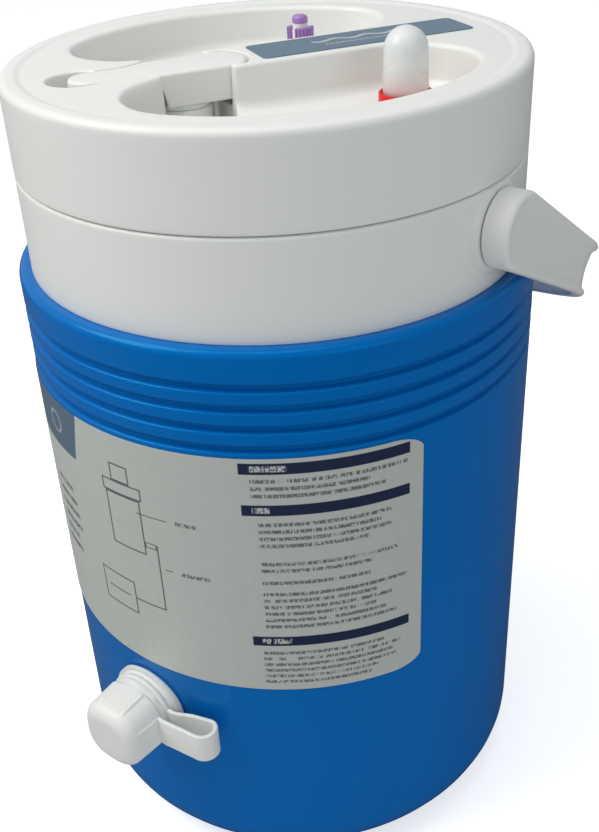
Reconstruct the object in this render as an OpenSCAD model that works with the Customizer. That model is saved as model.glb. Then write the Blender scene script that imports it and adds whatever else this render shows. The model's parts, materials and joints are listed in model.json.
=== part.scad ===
// Insulated cold therapy jug with a screw lid, swing handle, air vent, relief valve and capped outlet.
// Origin: centre of the base, +Z up, outlet towards -Y, handle trunnions on the X axis.

/* [Jug body] */
// Outer radius of the blue shell
body_r = 90; // [80:0.5:110]
// Wall of the blue shell
shell_t = 2.4; // [1.8:0.1:3.2]
// Height of the blue shell's shoulder
shoulder_z = 227.2; // [200:0.1:260]
// Radius of the rounded bottom corner
base_round = 30; // [16:1:34]
// Radius of the rounded shoulder
shoulder_round = 3; // [1:0.5:4]
// Radius of the flat pad in the middle of the base
base_pad_r = 18; // [10:1:30]
// Radius of the recess inside the foot ring
recess_r = 48; // [20:1:52]
// Depth of the recess inside the foot ring
recess_d = 2; // [1:0.5:3]
// Number of grooves under the shoulder
groove_n = 4; // [0:1:6]
// Height of the top groove below the shoulder
groove_drop = 12.1; // [8:0.1:20]
// Distance from groove to groove
groove_pitch = 7.05; // [5:0.05:9]
// Width of a groove at the surface
groove_w = 3; // [1:0.1:4]
// Depth of a groove
groove_d = 1.4; // [0.4:0.1:1.6]

/* [Inner tub] */
// Inner radius of the tub
tub_r = 75; // [62:0.5:76]
// Wall of the tub
tub_t = 2; // [1.4:0.1:2.6]
// Height of the tub's floor above the surface it stands on
tub_floor = 16; // [12:0.5:30]
// Radius of the tub's bottom corner
tub_round = 12; // [6:1:24]
// Height of the fill line above the tub's floor
fill_line = 110; // [60:1:160]

/* [Collar and neck] */
// Outer radius of the white collar
collar_r = 85.5; // [78:0.1:87]
// Wall of the collar
collar_t = 2.5; // [2:0.1:3]
// Height of the visible collar, from the shoulder to the seam under the lid
collar_h = 33.2; // [30:0.1:40]
// Height of the threaded neck above the seam
neck_h = 19.6; // [17:0.1:20]
// Rise of the lid in one full turn
thread_lead = 14; // [13:0.5:16]
// How far a thread lug stands out
lug_out = 2.3; // [1.2:0.1:2.5]

/* [Handle] */
// Height of the handle's pivot above the shoulder
pivot_up = 19.5; // [18:0.1:24]
// Radius of the handle's round hub
hub_r = 12.3; // [10:0.1:13]
// Outer face of the hub, measured from the jug's axis
hub_x = 95.5; // [94:0.1:100]
// Radius of the pivot pin
pin_r = 5; // [3:0.1:7]
// Reach of the straight part of each arm
arm_straight = 57; // [40:1:70]
// Reach of the grip's inner face from the pivot
grip_reach = 112; // [112:0.5:125]
// Width of the strap at the hub
strap_w_hub = 24.6; // [16:0.2:24.6]
// Width of the strap at the grip
strap_w_grip = 19.4; // [12:0.2:19.4]
// Thickness of the strap over its edge beads
strap_t = 4.6; // [3.6:0.1:5]
// Depth of the channel between the beads
channel_d = 2.6; // [0.5:0.1:2.8]
// Width of each edge bead
bead_w = 2.6; // [1.6:0.1:4]
// Angle at which the resting handle hangs below level
rest_angle = 31; // [28:1:34]

/* [Lid] */
// Height of the lid's rim above the seam
lid_h = 29.6; // [29:0.1:34]
// Wall of the lid
lid_t = 2.5; // [2:0.1:2.8]
// Radius of the lid's rounded rim
lid_round = 5.2; // [3:0.1:6]
// Radius of the shallow step round the lid's top
step_r = 79; // [76:0.5:79.5]
// Depth of that step
step_d = 0.5; // [0.2:0.1:0.8]
// Turn of the closed lid's bridge from the X axis
lid_angle = 59; // [0:1:90]
// Outer radius of the two pockets
pocket_r = 70.3; // [66:0.1:71]
// Corner radius of the pockets
pocket_round = 22; // [14:0.5:24]
// Depth of the pockets
pocket_d = 13.5; // [10:0.5:14]
// Half width of the bridge between the pockets
bridge_w = 12.7; // [11:0.1:14]
// Depth of the well beside the spout
well_d = 27; // [20:0.5:29]
// Wall between the pockets and the lid's inside
pocket_t = 2.2; // [1.6:0.1:2.3]

/* [Spout] */
// Distance of the spout from the lid's centre
spout_u = 29.4; // [29.2:0.1:29.6]
// Inner radius of the spout
spout_r = 6.5; // [5:0.1:6.6]
// Wall of the spout
spout_t = 3; // [2.8:0.1:3.2]
// Distance of the lever's hinge from the lid's centre
hinge_u = 12.5; // [12.3:0.1:12.6]
// Half width of the lever over the spout
lever_w = 9.5; // [9:0.1:10]
// Half width of the lever's finger tongue
tongue_w = 6.8; // [5:0.1:7]
// Thickness of the tongue
tongue_t = 3.6; // [2.4:0.1:4]
// Distance of the tongue's tip from the lid's centre
tip_u = 65; // [62:0.5:66]
// Radius of the lever's hinge pin
hinge_pin_r = 1.5; // [1:0.1:2]
// Radius of the finger notch
notch_r = 9.6; // [8:0.1:10]

/* [Air vent] */
// Vent's distance along the bridge from the lid's centre
vent_u = 33.4; // [28:0.2:36]
// Vent's distance across the bridge from the lid's centre
vent_v = 34; // [30:0.5:40]
// Radius of the red vent base
vent_base_r = 8.6; // [8:0.1:10]
// Height of the red vent base
vent_base_h = 4.6; // [3:0.1:6]
// Outer radius of the vent cap
vent_cap_r = 7.35; // [6.4:0.05:7.4]
// Height of the vent cap
vent_cap_h = 20.6; // [14:0.1:24]
// Wall of the vent cap
vent_cap_t = 1.2; // [0.8:0.1:1.6]
// Bore of the vent
vent_bore = 2.5; // [1.5:0.1:2.6]

/* [Relief valve] */
// Valve's distance along the bridge from the lid's centre
relief_u = 26; // [20:0.5:34]
// Valve's distance across the bridge from the lid's centre
relief_v = 34; // [28:0.5:42]
// Radius of the purple sleeve
sleeve_r = 4.8; // [4.4:0.1:6]
// Height of the purple sleeve
sleeve_h = 9.4; // [6:0.2:9.6]
// Radius of the valve's white stem
stem_r = 2.9; // [2.8:0.1:3.2]
// Radius of the purple button
button_r = 2.8; // [2:0.1:2.9]
// Height of the button's crown
button_h = 2.6; // [2:0.1:4]
// Travel of the button
button_travel = 1.5; // [0.8:0.1:1.8]

/* [Outlet] */
// Height of the outlet's axis
outlet_z = 74; // [50:1:90]
// Radius of the outlet's flange
flange_r = 15.5; // [14:0.1:18]
// Radius of the threaded shank
shank_r = 8; // [7.5:0.1:9]
// Outer radius of the hose nozzle
nozzle_r = 7; // [6.6:0.1:7.6]
// Length of the nozzle beyond the flange
nozzle_len = 12; // [10:0.5:12.5]
// Travel of the shut-off poppet
poppet_travel = 3; // [1:0.1:3.4]
// Width of the cap over its flats
cap_w = 26.6; // [24:0.2:28]
// Length of the cap
cap_len = 18; // [15:0.2:20]
// Radius of the cap over its corners
cap_r = 14.6; // [13:0.1:15]
// Height of the strap's band
band_h = 12; // [8:0.5:13]
// Thickness of the strap's band
band_t = 1.5; // [1:0.1:2]
// How far the strap's loop stands out beyond the cap
loop_out = 21; // [12:0.5:26]

/* [Labels] */
// Half angle that the front label covers
label_half = 67; // [40:1:80]
// Height of the front label's lower edge
label_z = 95; // [92:1:110]
// Height of the front label
label_h = 96; // [60:1:96]
// Corner radius of the front label, seen from the front
label_round = 5; // [2:0.5:14]
// Thickness of the labels
label_t = 0.3; // [0.2:0.05:0.6]
// Length of the lid's label
lid_label_len = 76; // [40:1:77]
// Width of the lid's label
lid_label_w = 19; // [12:0.5:20]

/* [Fits] */
// Running clearance of pins in their bores
run_gap = 0.05; // [0.02:0.01:0.1]
// Gap between fixed pieces that nest
nest_gap = 0.3; // [0.15:0.05:0.5]
// Gap round pieces that move
move_gap = 0.4; // [0.3:0.05:0.6]

/* [Hidden] */
$fn = 96;

// Colours
shell_blue = [0.0, 0.42, 0.72];
plastic_white = [0.92, 0.92, 0.90];
silver = [0.66, 0.67, 0.65];
slate = [0.36, 0.43, 0.51];

// Heights of the stack
seam_z = shoulder_z + collar_h;
collar_top = seam_z - nest_gap;
neck_top = seam_z + neck_h;
lid_top = seam_z + lid_h;
panel_z = lid_top - step_d;
plate_z = panel_z - lid_t;
pocket_z = panel_z - pocket_d;
well_z = panel_z - well_d;
ledge_t = 3;

// Radii of the neck
mouth_r = collar_r - 1.5;
neck_in = tub_r + tub_t + nest_gap;
neck_r = neck_in + 2.7;
foot_t = 2.5;
foot_h = 10;
skirt_in = collar_r - lid_t;

// Cylinder whose axis points towards the outlet side, starting at a distance from the jug's axis
module outward(z, from) { translate([0, -from, z]) rotate([90, 0, 0]) children(); }

// Cylinder axis along +X at the handle's pivot height
module sideways(x) { translate([x, 0, pivot_z]) rotate([0, 90, 0]) children(); }

// Both ends of the X axis
module both_sides() { children(); mirror([1, 0, 0]) children(); }

// Everything on the lid is drawn with the bridge along X, then turned
module on_lid() { rotate([0, 0, lid_angle]) children(); }

// Half profile of a round vessel with rounded bottom and top corners
module vessel_2d(r, z0, z1, bottom, top = 0) {
    translate([0, z0]) square([r - bottom, z1 - z0 - top]);
    translate([0, z0 + bottom]) square([r - top, z1 - z0 - bottom]);
    translate([0, z0 + bottom]) square([r, z1 - z0 - bottom - top]);
    if (bottom > 0) translate([r - bottom, z0 + bottom]) circle(bottom);
    if (top > 0) translate([r - top, z1 - top]) circle(top);
}

// Solid ring with a rectangular section
module ring(r_in, r_out, z0, z1) {
    rotate_extrude() translate([r_in, z0]) square([r_out - r_in, z1 - z0]);
}

// Tube or disc along +Z
module tube(r_in, r_out, h) {
    difference() {
        cylinder(r = r_out, h = h);
        if (r_in > 0) translate([0, 0, -1]) cylinder(r = r_in, h = h + 2);
    }
}

// Coil spring as one tube: closed form helix with its wire's radius, n turns and height h
module coil_spring(r, wire, turns, h) {
    steps = 16;
    sides = 6;
    rings = turns * steps;
    points = [for (i = [0:rings]) let (a = i * 360 / steps)
        for (j = [0:sides - 1]) let (b = j * 360 / sides, q = r + wire * cos(b))
            [q * cos(a), q * sin(a), wire + (h - 2 * wire) * i / rings + wire * sin(b)]];
    faces = concat(
        [[for (j = [0:sides - 1]) j]],
        [for (i = [0:rings - 1]) for (j = [0:sides - 1]) let (k = (j + 1) % sides)
            [i * sides + j, (i + 1) * sides + j, (i + 1) * sides + k, i * sides + k]],
        [[for (j = [sides - 1:-1:0]) rings * sides + j]]);
    polyhedron(points, faces);
}

// One screw lug: a ramped rib between two radii over an arc, rising by the thread's lead
module screw_lug(r0, r1, z, thick, start, sweep) {
    steps = 20;
    points = [for (i = [0:steps]) let (a = start + sweep * i / steps, h = z + thread_lead * sweep * i / steps / 360)
        for (p = [[r0, -thick / 2], [r1, -thick / 2 + 0.5], [r1, thick / 2 - 0.5], [r0, thick / 2]])
            [p[0] * cos(a), p[0] * sin(a), h + p[1]]];
    faces = concat(
        [[0, 1, 2, 3]],
        [for (i = [0:steps - 1]) for (j = [0:3]) let (k = (j + 1) % 4)
            [i * 4 + j, (i + 1) * 4 + j, (i + 1) * 4 + k, i * 4 + k]],
        [[for (j = [3:-1:0]) steps * 4 + j]]);
    polyhedron(points, [for (f = faces) r1 < r0 ? f : [for (j = [len(f) - 1:-1:0]) f[j]]]);
}

// ---- Jug ----

shell_in = body_r - shell_t;
shell_floor = recess_d + shell_t;
outlet_hole = shank_r + nest_gap;

module groove_2d(z) {
    translate([body_r, z]) polygon([[1, -groove_w / 2 - 0.6], [0, -groove_w / 2], [-groove_d, -groove_w / 2 + 0.9],
        [-groove_d, groove_w / 2 - 0.3], [0, groove_w / 2], [1, groove_w / 2]]);
}

module outer_shell() color(shell_blue) difference() {
    rotate_extrude($fn = 180) difference() {
        vessel_2d(body_r, 0, shoulder_z, base_round, shoulder_round);
        vessel_2d(shell_in, shell_floor, shoulder_z - shell_t, base_round - shell_t, shoulder_round - 1);
        translate([0, shoulder_z - 2 * shell_t]) square([mouth_r, 3 * shell_t]);
        translate([base_pad_r, 0]) square([recess_r - base_pad_r, recess_d]);
        for (i = [0:1:groove_n - 1]) groove_2d(shoulder_z - groove_drop - i * groove_pitch);
    }
    outward(outlet_z, shell_in - 5) cylinder(r = outlet_hole, h = shell_t + 10);
}

module insulation_foam() color([0.93, 0.88, 0.70]) difference() {
    rotate_extrude() difference() {
        union() {
            vessel_2d(shell_in - nest_gap, shell_floor + nest_gap, shoulder_z - shell_t - nest_gap,
                base_round - shell_t, shoulder_round - 1);
            translate([0, outlet_z])
                square([mouth_r - foot_t - 2 * nest_gap, collar_top - ledge_t - nest_gap - outlet_z]);
        }
        square([body_r, shell_floor + nest_gap]);
        vessel_2d(tub_r + tub_t + nest_gap, tub_floor - tub_t - nest_gap, neck_top, tub_round + tub_t);
        translate([mouth_r - foot_t - 2 * nest_gap, shoulder_z - foot_h - nest_gap])
            square([foot_t + 2 * nest_gap, foot_h]);
    }
    outward(outlet_z, tub_r) cylinder(r = outlet_hole, h = body_r - tub_r);
    both_sides() sideways(head_x - nest_gap) cylinder(r = head_r + nest_gap, h = 10);
}

module inner_tub() color(plastic_white) difference() {
    rotate_extrude($fn = 144) {
        difference() {
            vessel_2d(tub_r + tub_t, tub_floor - tub_t, neck_top, tub_round + tub_t);
            vessel_2d(tub_r, tub_floor, neck_top + 1, tub_round);
        }
        translate([tub_r, neck_top]) square([neck_r - tub_r, rim_t]);
        translate([tub_r - 0.6, tub_floor + fill_line]) square([1, 1.2]);
    }
    outward(outlet_z, tub_r - 5) cylinder(r = outlet_hole, h = tub_t + 10);
}

// Lug heights: the lid's lugs lie under the collar's lugs when the lid is shut
lug_thick = 3.2;
lug_sweep = 100;
collar_lug_z = seam_z + 8;
lid_lug_z = collar_lug_z - lug_thick - nest_gap;
rim_t = 1.5;

pivot_z = shoulder_z + pivot_up;
boss_r = hub_r + 1.1;
boss_x = collar_r + 1;
head_r = 8;
head_t = 2;
pad_x = collar_r - collar_t - 2;
head_x = pad_x - head_t;

module collar() color(plastic_white) difference() {
    union() {
        rotate_extrude($fn = 144) {
            translate([collar_r - collar_t, shoulder_z]) square([collar_t, collar_h - nest_gap - 1]);
            translate([collar_r - collar_t, collar_top - 2]) square([collar_t - 1, 2]);
            translate([collar_r - 1, collar_top - 1]) circle(1);
            translate([mouth_r - nest_gap - foot_t, shoulder_z - foot_h]) square([foot_t, foot_h + 2.5]);
            translate([neck_in, collar_top - ledge_t]) square([collar_r - 1 - neck_in, ledge_t]);
            translate([neck_in, collar_top - ledge_t]) square([neck_r - neck_in, neck_top - collar_top + ledge_t]);
        }
        for (a = [0, 180]) screw_lug(neck_r - 0.4, neck_r + lug_out, collar_lug_z, lug_thick, a, lug_sweep);
        both_sides() sideways(pad_x) cylinder(r = boss_r, h = boss_x - pad_x);
    }
    both_sides() sideways(pad_x - 1) cylinder(r = pin_r + run_gap, h = boss_x - pad_x + 2);
}

// Film on the shell: a thin ring trimmed by a rounded outline seen from the front
film_gap = 0.05;
module front_label() color(silver) intersection() {
    half_w = body_r * sin(label_half);
    outward(0, 0) linear_extrude(body_r + 5) translate([0, label_z]) {
        translate([-half_w + label_round, 0]) square([2 * (half_w - label_round), label_h]);
        translate([-half_w, label_round]) square([2 * half_w, label_h - 2 * label_round]);
        for (x = [-1, 1], z = [label_round, label_h - label_round])
            translate([x * (half_w - label_round), z]) circle(label_round);
    }
    difference() {
        translate([0, 0, label_z - 1]) cylinder(r = body_r + film_gap + label_t, h = label_h + 2, $fn = 360);
        translate([0, 0, label_z - 2]) cylinder(r = body_r + film_gap, h = label_h + 4, $fn = 360);
    }
}

// ---- Handle ----

hub_in = boss_x + 1;
arm_out = hub_x;
arm_in = hub_x - strap_t;
grip_out = grip_reach + strap_t;
pin_end = hub_x - 2.6;

// Plan of the strap in the handle's own plane: straight arms, then half an ellipse; shrink moves it inwards
module strap_plan(a, reach, shrink = 0) {
    steps = 60;
    polygon(concat([[a - shrink, -hub_r]],
        [for (i = [0:steps]) let (s = 180 * i / steps)
            [(a - shrink) * cos(s), arm_straight + (reach - shrink - arm_straight) * sin(s)]],
        [[-a + shrink, -hub_r]]));
}

// Side outline of the strap: wide at the hub, narrow at the grip
module strap_side(inset = 0) {
    w0 = strap_w_hub / 2 - inset;
    w1 = strap_w_grip / 2 - inset;
    polygon([[0, -w0], [arm_straight, -w1], [grip_out + 1, -w1], [grip_out + 1, w1], [arm_straight, w1], [0, w0]]);
}

module handle_at_rest() { translate([0, 0, pivot_z]) rotate([-rest_angle, 0, 0]) children(); }

module strap_slab(a, reach, shrink, inset) {
    intersection() {
        linear_extrude(strap_w_hub + 2, center = true) strap_plan(a, reach, shrink);
        translate([-a - 1, 0, 0]) rotate([90, 0, 90]) linear_extrude(2 * a + 2) strap_side(inset);
    }
}

module handle_bail() color(plastic_white) handle_at_rest() difference() {
    union() {
        difference() {
            strap_slab(arm_out, grip_out, 0, 0);
            linear_extrude(strap_w_hub + 4, center = true) strap_plan(arm_in, grip_reach);
        }
        both_sides() translate([hub_in, 0, 0]) rotate([0, 90, 0]) cylinder(r = hub_r, h = hub_x - hub_in);
    }
    difference() {
        strap_slab(arm_out + 1, grip_out + 1, 0, bead_w);
        linear_extrude(strap_w_hub + 4, center = true) strap_plan(arm_out, grip_out, channel_d);
        both_sides() translate([hub_in - 2, 0, 0]) rotate([0, 90, 0]) cylinder(r = hub_r + 1, h = 12);
    }
    both_sides() translate([hub_in - 1, 0, 0]) rotate([0, 90, 0])
        cylinder(r = pin_r + run_gap, h = pin_end + 0.4 - hub_in + 1);
}

module pivot_pins() color([0.75, 0.76, 0.78]) both_sides() sideways(head_x) {
    cylinder(r = head_r, h = head_t);
    cylinder(r = pin_r, h = pin_end - head_x);
}

// ---- Lid ----

liner_wall = 1.7;
liner_out = tub_r - nest_gap - 0.1;
liner_z = well_z - lid_t - 6;
liner_t = 2.2;
liner_floor = liner_z + liner_t;
land_h = 3;
gasket_top = plate_z - land_h;
shank_end = liner_z - 6;

// Outline of one pocket grown by g: an arc of the lid, a straight edge along the bridge and round corners.
// The corner circles reach a little past the arc and the edge, so that the outlines cross at clear angles.
corner_extra = 0.15;
module pocket_2d(g = 0) {
    corner_r = pocket_round + g + corner_extra;
    corner_v = bridge_w + pocket_round;
    corner_u = sqrt(pow(pocket_r - pocket_round, 2) - pow(corner_v, 2));
    intersection() {
        circle(pocket_r + g);
        translate([-100, -200 - bridge_w + g]) square(200);
        union() {
            for (side = [-1, 1]) translate([side * corner_u, -corner_v]) circle(corner_r);
            polygon([[0, 0], [-corner_u * 3, -corner_v * 3], [corner_u * 3, -corner_v * 3]]);
            translate([-corner_u, -corner_v - 1]) square([2 * corner_u, corner_v + 1]);
        }
    }
}

module both_pockets_2d(g = 0) { pocket_2d(g); mirror([0, 1]) pocket_2d(g); }

// Deep well beside and under the lever, grown by g
well_left = -38.4;
well_right = -15.5;
module well_2d(g = 0) {
    slant = 7.8;
    depth = 34;
    intersection() {
        union() {
            pocket_2d(g);
            translate([well_left - g, -bridge_w - 1]) square([g - well_left, 2 * bridge_w + 1 + g]);
        }
        polygon([[-70, -depth - g], [well_right - slant + g, -depth - g], [well_right + g, -bridge_w],
            [well_right + g, bridge_w + g], [well_left - g, bridge_w + g], [well_left - g, g - bridge_w],
            [-70, g - bridge_w]]);
    }
}

// Closed lever's levels and the round ends of its hinge block and of the bay round it
lever_top = panel_z - 0.1;
lever_left = -38;
lever_h = 10.7;
lever_under = lever_top - lever_h;
hinge_z = lever_top - 2.9;
lever_end_r = 13.6;
lever_end = -7.5;
bay_end_r = 14.4;
bay_end = -5;
spout_top = lever_under - 1.6;

// Half length of the hinge pin, whose ends sit in blind holes in the bridge's cheeks
hinge_half = lever_w + move_gap + 1.5;

// Room for the lever: its hinge block in the bridge, and its tongue over the lid's edge
module lever_bay() {
    bay_w = lever_w + move_gap;
    intersection() {
        translate([well_right - 1, -bay_w, pocket_z]) cube([20, 2 * bay_w, pocket_d + 1]);
        translate([bay_end - bay_end_r, 0, 0]) cylinder(r = bay_end_r, h = lid_top + 1);
    }
    translate([0, 0, panel_z - tongue_t - move_gap]) linear_extrude(tongue_t + 2) tongue_2d(move_gap);
}

// Plan of the tongue, grown by g: round at the tip and wider where it joins the lever
module tongue_2d(g = 0) {
    translate([-tip_u + tongue_w, 0]) circle(tongue_w + g);
    polygon([[-tip_u + tongue_w, -tongue_w - g], [-46, -tongue_w - g], [lever_left - 1, -lever_w - g],
        [lever_left + 1, -lever_w - g], [lever_left + 1, lever_w + g], [lever_left - 1, lever_w + g],
        [-46, tongue_w + g], [-tip_u + tongue_w, tongue_w + g]]);
}

// Walls round the bay, the tongue's seat and the notch, under the lid's plate
module bay_walls() {
    translate([well_right, -bridge_w, pocket_z - lid_t])
        cube([bay_end + pocket_t - well_right, 2 * bridge_w, pocket_d + lid_t - 0.5]);
    translate([0, 0, panel_z - tongue_t - move_gap - pocket_t])
        linear_extrude(tongue_t + move_gap + pocket_t - 0.5) tongue_2d(move_gap + pocket_t);
    translate([notch_u, 0, panel_z - notch_d - pocket_t])
        cylinder(r = notch_r + pocket_t, h = notch_d + pocket_t - 0.5);
}

// Finger notch under the tongue's tip
notch_u = -tip_u + 3;
notch_d = 7;
module notch() { translate([notch_u, 0, panel_z - notch_d]) cylinder(r = notch_r, h = notch_d + 1); }

module at_vent() { translate([vent_u, -vent_v, 0]) children(); }
module at_relief() { translate([relief_u, relief_v, 0]) children(); }
module at_spout() { translate([-spout_u, 0, 0]) children(); }

port_r = 4;
module lid_shell() color(plastic_white) on_lid() difference() {
    union() {
        rotate_extrude($fn = 144) difference() {
            vessel_2d(collar_r, seam_z, lid_top, 0, lid_round);
            translate([0, seam_z - 1]) square([skirt_in, plate_z - seam_z + 1]);
            translate([0, panel_z]) square([step_r, 2]);
        }
        ring(liner_out + nest_gap, neck_r, gasket_top, plate_z + 0.5);
        translate([0, 0, pocket_z - lid_t]) linear_extrude(panel_z - pocket_z + lid_t - 0.5)
            both_pockets_2d(pocket_t);
        translate([0, 0, well_z - lid_t]) linear_extrude(panel_z - well_z + lid_t - 0.5) well_2d(pocket_t);
        intersection() {
            bay_walls();
            cylinder(r = liner_out - liner_wall - nest_gap, h = lid_top);
        }
        at_spout() translate([0, 0, shank_end]) cylinder(r = spout_r + spout_t, h = spout_top - shank_end);
        for (a = [0, 180]) rotate([0, 0, -lid_angle])
            screw_lug(skirt_in + 0.4, skirt_in - lug_out, lid_lug_z, lug_thick, a, lug_sweep);
    }
    translate([0, 0, pocket_z]) linear_extrude(pocket_d + 1) both_pockets_2d();
    translate([0, 0, well_z]) linear_extrude(well_d + 1) well_2d();
    lever_bay();
    intersection() { notch(); cylinder(r = step_r - 2, h = lid_top + 1); }
    at_spout() translate([0, 0, shank_end - 1]) cylinder(r = spout_r, h = spout_top - shank_end + 5);
    at_vent() cylinder(r = port_r + nest_gap, h = lid_top);
    at_relief() cylinder(r = port_r + nest_gap, h = lid_top);
    translate([-hinge_u, hinge_half + nest_gap / 2, hinge_z]) rotate([90, 0, 0])
        cylinder(r = hinge_pin_r + run_gap, h = 2 * hinge_half + nest_gap);
}

module lid_liner() color(plastic_white) on_lid() difference() {
    rotate_extrude($fn = 144) difference() {
        vessel_2d(liner_out, liner_z, plate_z, 2);
        translate([0, liner_floor]) square([liner_out - liner_wall, lid_h * 2]);
    }
    at_spout() cylinder(r = spout_r + spout_t + nest_gap, h = lid_top);
    at_vent() cylinder(r = port_r + nest_gap, h = lid_top);
    at_relief() cylinder(r = port_r + nest_gap, h = lid_top);
}

module lid_foam() color([0.93, 0.88, 0.70]) on_lid() difference() {
    foam_top = pocket_z - lid_t - nest_gap;
    translate([0, 0, liner_floor + nest_gap])
        cylinder(r = liner_out - liner_wall - nest_gap, h = foam_top - liner_floor - nest_gap);
    translate([0, 0, well_z - lid_t - nest_gap]) linear_extrude(well_d) well_2d(pocket_t + nest_gap);
    at_spout() cylinder(r = spout_r + spout_t + nest_gap, h = lid_top);
    at_vent() cylinder(r = port_r + 2 * nest_gap, h = lid_top);
    at_relief() cylinder(r = port_r + 2 * nest_gap, h = lid_top);
}

module lid_gasket() color([0.55, 0.57, 0.58])
    ring(liner_out + 2 * nest_gap, neck_r - nest_gap, neck_top + rim_t + 0.1, gasket_top - 0.1);

module lid_label() color(slate) on_lid() {
    round_l = 2;
    translate([-4, -lid_label_w / 2, panel_z]) linear_extrude(label_t) {
        translate([round_l, 0]) square([lid_label_len - 2 * round_l, lid_label_w]);
        translate([0, round_l]) square([lid_label_len, lid_label_w - 2 * round_l]);
        for (x = [round_l, lid_label_len - round_l], y = [round_l, lid_label_w - round_l])
            translate([x, y]) circle(round_l);
    }
}

module spout_lever() color(plastic_white) on_lid() difference() {
    union() {
        intersection() {
            translate([0, lever_w, 0]) rotate([90, 0, 0]) linear_extrude(2 * lever_w) polygon([
                [lever_left + 1.6, lever_under], [0, lever_under], [0, lever_top], [lever_left, lever_top],
                [lever_left, panel_z - tongue_t]]);
            translate([lever_end - lever_end_r, 0, lever_under]) union() {
                cylinder(r = lever_end_r, h = lever_h);
                translate([-40, -lever_w, 0]) cube([40, 2 * lever_w, lever_h]);
            }
        }
        translate([0, 0, panel_z - tongue_t]) linear_extrude(tongue_t - 0.1) tongue_2d();
    }
    translate([-hinge_u, lever_w + 1, hinge_z]) rotate([90, 0, 0])
        cylinder(r = hinge_pin_r + run_gap, h = 2 * lever_w + 2);
    at_spout() translate([0, 0, lever_under - 1]) cylinder(r = peg_r + nest_gap / 2, h = peg_h + 1);
}

module lever_hinge_pin() color([0.75, 0.76, 0.78]) on_lid()
    translate([-hinge_u, hinge_half, hinge_z]) rotate([90, 0, 0]) cylinder(r = hinge_pin_r, h = 2 * hinge_half);

// Soft plug under the lever: a peg in the lever, a sealing disc and a tapered plug in the spout
peg_r = 3;
peg_h = 4;
plug_h = 4;
module spout_stopper() color([0.80, 0.81, 0.80]) on_lid() at_spout() {
    translate([0, 0, spout_top + 0.1]) cylinder(r = spout_r + 0.8, h = lever_under - spout_top - 0.2);
    translate([0, 0, lever_under - 0.2]) cylinder(r = peg_r, h = peg_h);
    translate([0, 0, spout_top - plug_h]) cylinder(r1 = spout_r - 3.3, r2 = spout_r - move_gap, h = plug_h + 0.2);
}

// ---- Air vent ----

vent_seat = 1.6;
nipple_r = vent_cap_r - vent_cap_t - 1.2;
nipple_h = 10;
module vent_base() color([0.85, 0.08, 0.07]) on_lid() at_vent() difference() {
    union() {
        translate([0, 0, pocket_z]) cylinder(r = vent_base_r, h = vent_base_h);
        translate([0, 0, shank_end]) cylinder(r = port_r, h = pocket_z - shank_end + 1);
        translate([0, 0, pocket_z]) cylinder(r = nipple_r, h = vent_base_h + nipple_h);
    }
    translate([0, 0, shank_end - 1]) cylinder(r = vent_bore, h = lid_top - shank_end + 5);
    translate([0, 0, pocket_z + vent_base_h - vent_seat]) tube(nipple_r, vent_cap_r + nest_gap, vent_seat + 1);
}

module vent_cap() color([0.86, 0.88, 0.87, 0.7]) on_lid() at_vent()
    translate([0, 0, pocket_z + vent_base_h - vent_seat + 0.1]) rotate_extrude() difference() {
        vent_cap_2d(vent_cap_r, vent_cap_h, 0);
        translate([0, -0.01]) vent_cap_2d(vent_cap_r - vent_cap_t, vent_cap_h - vent_cap_t, 1);
    }

// Half profile of the domed cap
module vent_cap_2d(r, h, below) {
    intersection() {
        union() {
            translate([0, -below]) square([r, h - r + below]);
            translate([0, h - r]) circle(r);
        }
        translate([0, -below]) square([r + 1, h + below + 1]);
    }
}

module hex_nut(r, hole, h) {
    difference() {
        cylinder(r = r, h = h, $fn = 6);
        translate([0, 0, -1]) cylinder(r = hole, h = h + 2);
    }
}

nut_h = 4;
nut_r = 7.5;
module vent_nut() color([0.85, 0.08, 0.07]) on_lid() at_vent() translate([0, 0, liner_z - nut_h - 0.1])
    hex_nut(nut_r, port_r + run_gap, nut_h);

// ---- Relief valve ----

relief_flange_r = 6;
relief_flange_h = 2.4;
stem_top = panel_z;
rod_r = 1;
rod_bore = rod_r + run_gap;
spring_bore = 2.2;
spring_room = 8;
sleeve_z = pocket_z + relief_flange_h + 0.3;
module relief_body() color(plastic_white) on_lid() at_relief() difference() {
    union() {
        translate([0, 0, pocket_z]) cylinder(r = relief_flange_r, h = relief_flange_h);
        translate([0, 0, shank_end]) cylinder(r = port_r, h = pocket_z - shank_end + 1);
        translate([0, 0, pocket_z]) cylinder(r = stem_r, h = stem_top - button_travel - 0.6 - pocket_z);
    }
    translate([0, 0, shank_end - 1]) cylinder(r = rod_bore, h = lid_top - shank_end);
    translate([0, 0, stem_top - spring_room]) cylinder(r = spring_bore, h = spring_room);
    for (a = [0:90:270]) rotate([0, 0, a]) translate([2.4, 0, shank_end - 1]) cylinder(r = 0.7, h = 4, $fn = 24);
}

slot_half = 28;
module relief_sleeve() color([0.60, 0.40, 0.71]) on_lid() at_relief() translate([0, 0, sleeve_z]) difference() {
    union() {
        tube(stem_r + nest_gap / 2, sleeve_r - 0.4, sleeve_h);
        for (a = [0:15:345]) rotate([0, 0, a]) translate([sleeve_r - 0.6, -0.3, 0]) cube([0.6, 0.6, sleeve_h]);
    }
    for (side = [0, 180]) rotate([0, 0, side + 15]) translate([0, 0, 1.6]) linear_extrude(sleeve_h)
        polygon([[0, 0], [9 * cos(slot_half), -9 * sin(slot_half)], [9 * cos(slot_half), 9 * sin(slot_half)]]);
}

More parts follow.
